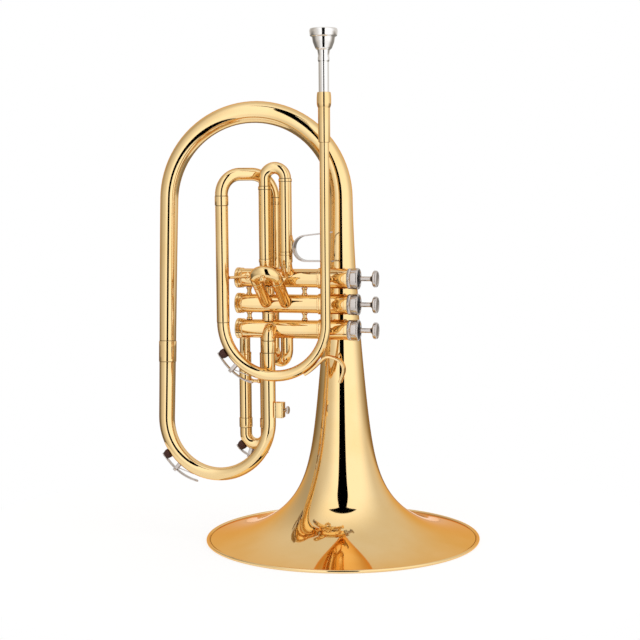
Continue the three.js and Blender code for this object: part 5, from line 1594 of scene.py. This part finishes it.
class BuildWaterKeys(bpy.types.Operator):
    """Makes the three water keys with their posts, levers, corks and springs"""

    bl_idname = "mellophone.water_keys"
    bl_label = "Water keys"

    def execute(self, context):
        for seat in key_seats():
            self.key(*seat)
        return {"FINISHED"}

    def key(self, name, centre, radius, tube_radius, parent):
        cork, pivot, thumb = (radians(angle) for angle in KEY_ANGLES[name])
        surface = radius + tube_radius
        lever = surface + KEY_LIFT

        def way(angle):
            return Vector((cos(angle), 0, sin(angle)))

        def spot(angle, reach, y=0):
            return centre + way(angle) * reach + Y * y

        def disc(angle, reach, *profile):
            return turned(profile, stood(spot(angle, reach), way(angle)), 48, closed=False)

        half, flat = KEY_WIDTH / 2, KEY_THICKNESS / 2
        pin = half + KEY_EAR + SEAT_GAP * 2
        upright = KEY_LIFT + tube_radius / 2 + KEY_BARREL
        parts = []
        for side in (-1, 1):
            y = side * (half + SEAT_GAP * 2 + KEY_EAR / 2)
            ear = Route(spot(pivot, surface - tube_radius / 2, y), way(pivot)).straight(upright)
            parts.append(strip(ear, KEY_EAR, 2 * KEY_BARREL, 0.3))
        parts.append(bar(spot(pivot, lever, -pin), spot(pivot, lever, pin), KEY_PIN))
        parts += [ball(spot(pivot, lever, side * pin), KEY_PIN * 1.5) for side in (-1, 1)]
        rest = pivot + (thumb - pivot) * KEY_SPRING_SHARE
        start, end = spot(pivot, lever - KEY_BARREL), spot(rest, surface + KEY_SPRING)
        parts.append(bar(start, end, KEY_SPRING, 8))
        publish(f"{name}_saddle", "nickel", *parts, body=parent, replaces=[f"{name}_post"])

        start = cork - KEY_CORK / lever
        arm = Route(spot(start, lever), way(start + QUARTER_TURN))
        thumb -= KEY_THUMB_SHORT
        arm.bend(lever, thumb - start, -way(start))
        for station in arm.stations:
            share = max(0, station[3] / arm.length - KEY_RISE_SHARE) / (1 - KEY_RISE_SHARE)
            away = station[0] - centre
            away.y = 0
            station[0] += away.normalized() * share * share * KEY_THUMB_RISE
        touch = disc(
            thumb,
            lever + KEY_THUMB_RISE,
            (0, -flat),
            (KEY_THUMB - 0.4, -flat, 0.4),
            (KEY_THUMB, 0, 0.4),
            (KEY_THUMB - 0.5, flat, 0.4),
            (0, flat - 0.25),
        )
        cup = disc(
            cork,
            lever,
            (0, flat),
            (KEY_CORK - 0.8, flat - 0.1, 0.4),
            (KEY_CORK - 0.4, -flat, 0.2),
            (0, -flat),
        )
        barrel = bar(spot(pivot, lever, -half), spot(pivot, lever, half), KEY_BARREL)
        parts = [strip(arm, KEY_WIDTH, KEY_THICKNESS, 0.5), barrel, touch, cup]
        publish(f"{name}_arm", "nickel", *parts, body=name, replaces=[f"{name}_lever"])
        reach = KEY_LIFT - flat - 2 * SEAT_GAP
        pad = disc(
            cork,
            surface + SEAT_GAP,
            (0, -0.6),
            (KEY_CORK + 0.8, -0.6, 0.5),
            (KEY_CORK + 1.2, reach * 0.35, 1.5),
            (KEY_CORK + 0.3, reach, 2.4),
            (0, reach),
        )
        publish(f"{name}_pad", "cork", pad, body=name, replaces=[f"{name}_cork"])


# Parts inside the valves keep their CAD shape and take their finish here

class DressInsides(bpy.types.Operator):
    """Gives the pistons and the guides inside the valves their finish"""

    bl_idname = "mellophone.insides"
    bl_label = "Insides"

    def execute(self, context):
        for number in (1, 2, 3):
            for name in (f"valve_piston_{number}", f"valve_guide_{number}"):
                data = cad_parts[name].data
                data.materials.clear()
                data.materials.append(bpy.data.materials["Nickel plate"])
        return {"FINISHED"}


# Stage

def build_camera():
    """The camera, after its turn, pitch and roll."""
    ahead = Vector((-sin(CAMERA_TURN), cos(CAMERA_TURN), 0))
    right = Vector((cos(CAMERA_TURN), sin(CAMERA_TURN), 0))
    forward = ahead * cos(CAMERA_PITCH) + Z * sin(CAMERA_PITCH)
    roll = Quaternion(forward, CAMERA_ROLL)
    turn = Matrix((roll @ right, roll @ right.cross(forward), -forward)).transposed().to_4x4()
    data = bpy.data.cameras.new("Camera")
    data.lens = CAMERA_LENS
    data.sensor_width = 36
    data.sensor_fit = "HORIZONTAL"
    data.clip_start, data.clip_end = 0.05, 50
    camera = link("Camera", data)
    camera.matrix_world = Matrix.Translation(TO_ROW @ CAMERA_PLACE) @ turn
    bpy.context.scene.camera = camera


def build_world():
    """A white tent with a dark slit where the camera looks in, up to a dark vent on top."""
    world = bpy.data.worlds.new("Tent")
    bpy.context.scene.world = world
    world.use_nodes = True
    tree = world.node_tree
    tree.nodes.clear()
    place = add_node(tree, "TexCoord").outputs["Generated"]

    def calc(operation, *values):
        return add_node(tree, "Math", dict(enumerate(values)), operation=operation).outputs[0]

    def ramp(value, span, bottom, top):
        inputs = {"Value": value, "To Min": bottom, "To Max": top}
        inputs["From Min"], inputs["From Max"] = span
        return add_node(tree, "MapRange", inputs, interpolation_type="SMOOTHSTEP").outputs["Result"]

    def toward(direction):
        inputs = {0: place, 1: direction}
        return add_node(tree, "VectorMath", inputs, operation="DOT_PRODUCT").outputs["Value"]

    turn = atan2(-CAMERA_PLACE.y, CAMERA_PLACE.x)
    front = toward((cos(turn), -sin(turn), 0))
    right = toward((sin(turn), cos(turn), 0))
    up = toward(Z)
    level = calc("MAXIMUM", front, ramp(up, SLIT_HORIZON, 1, 0))
    slit = ramp(level, SLIT_NARROWS, SLIT_HIGH, SLIT_WIDTH)
    width = calc("MAXIMUM", slit, ramp(level, VENT_NARROWS, SLIT_VENT, 0))
    inside = calc("SUBTRACT", calc("ABSOLUTE", right), width)
    opened = ramp(inside, SLIT_EDGE, 0, 1)
    opened = calc("MAXIMUM", opened, ramp(level, VENT_TOP, 1, 0))
    opened = calc("MAXIMUM", opened, ramp(front, SLIT_BACK, 1, 0))
    rear = ramp(up, REAR_RISE, BACK_LIGHT, TOP_LIGHT)
    share = ramp(front, FRONT_SPREAD, 0, 1)
    facing = calc("MULTIPLY_ADD", share, calc("SUBTRACT", FRONT_LIGHT, rear), rear)
    light = calc("MULTIPLY", ramp(up, LOW_SPREAD, LOW_LIGHT, 1), settings().studio.tent)
    for share in (facing, ramp(right, LEFT_SPREAD, LEFT_LIGHT, 1), opened):
        light = calc("MULTIPLY", light, share)

    warmth = blend(tree, ramp(light, WARM_SPREAD, 0, 1), WARM_TINT, WHITE)
    tent = add_node(tree, "Background", {"Color": warmth, "Strength": light}).outputs[0]
    backdrop = add_node(tree, "Background", {"Color": WHITE}).outputs[0]
    seen = add_node(tree, "LightPath").outputs["Is Camera Ray"]
    mix = add_node(tree, "MixShader", {0: seen, 1: tent, 2: backdrop}).outputs[0]
    add_node(tree, "OutputWorld", {"Surface": mix})


def build_floor():
    """A pale floor that fades to white for the camera and keeps the soft shadow."""
    part = bmesh.new()
    bmesh.ops.create_circle(part, cap_ends=True, radius=FLOOR_RADIUS, segments=96)
    mesh = bpy.data.meshes.new("Floor")
    part.to_mesh(mesh)
    part.free()
    floor = link("Floor", mesh)
    tree, shader = new_material("Floor")
    path = add_node(tree, "LightPath").outputs
    seen = path["Is Camera Ray"]
    for ray in ("Is Glossy Ray", "Is Transmission Ray"):
        inputs = {0: seen, 1: path[ray]}
        seen = add_node(tree, "Math", inputs, operation="ADD", use_clamp=True).outputs[0]
    glow = add_node(tree, "Math", {0: seen, 1: FLOOR_GLOW}, operation="MULTIPLY").outputs[0]
    inputs = {
        "Base Color": (FLOOR_TONE, FLOOR_TONE, FLOOR_TONE, 1),
        "Roughness": 0.9,
        "Specular IOR Level": 0,
        "Emission Color": WHITE,
        "Emission Strength": glow,
    }
    fill(tree, shader, inputs)
    mesh.materials.append(bpy.data.materials["Floor"])


class BuildStage(bpy.types.Operator):
    """Makes the camera, the light and the floor"""

    bl_idname = "mellophone.stage"
    bl_label = "Stage"

    def execute(self, context):
        build_camera()
        build_world()
        build_floor()
        context.scene.view_settings.view_transform = "Standard"
        return {"FINISHED"}


OPERATORS = (
    BuildStage,
    BuildFinishes,
    BuildBell,
    BuildLoop,
    BuildValves,
    BuildLeadpipe,
    BuildMainSlide,
    BuildFirstSlide,
    BuildSecondSlide,
    BuildThirdSlide,
    BuildValveTubes,
    BuildFittings,
    BuildWaterKeys,
    DressInsides,
)


class MellophonePanel(bpy.types.Panel):
    """Lists the instrument's settings and the steps that build it"""

    bl_idname = "MELLOPHONE_PT_build"
    bl_label = "Mellophone"
    bl_space_type = "VIEW_3D"
    bl_region_type = "UI"
    bl_category = "Mellophone"

    def draw(self, context):
        layout = self.layout
        for group in (settings().bell, settings().finish, settings().studio):
            box = layout.box()
            for name in group.bl_rna.properties.keys():
                if name not in ("rna_type", "name"):
                    box.prop(group, name)
        for operator in OPERATORS:
            layout.operator(operator.bl_idname)


CLASSES = (
    BellSettings,
    FinishSettings,
    StudioSettings,
    MellophoneSettings,
    *OPERATORS,
    MellophonePanel,
)


def register():
    for made in CLASSES:
        bpy.utils.register_class(made)
    bpy.types.Scene.mellophone = PointerProperty(type=MellophoneSettings)


def unregister():
    del bpy.types.Scene.mellophone
    for made in reversed(CLASSES):
        bpy.utils.unregister_class(made)


def main():
    register()
    for operator in OPERATORS:
        group, name = operator.bl_idname.split(".")
        getattr(getattr(bpy.ops, group), name)()


if __name__ == "__main__":
    main()
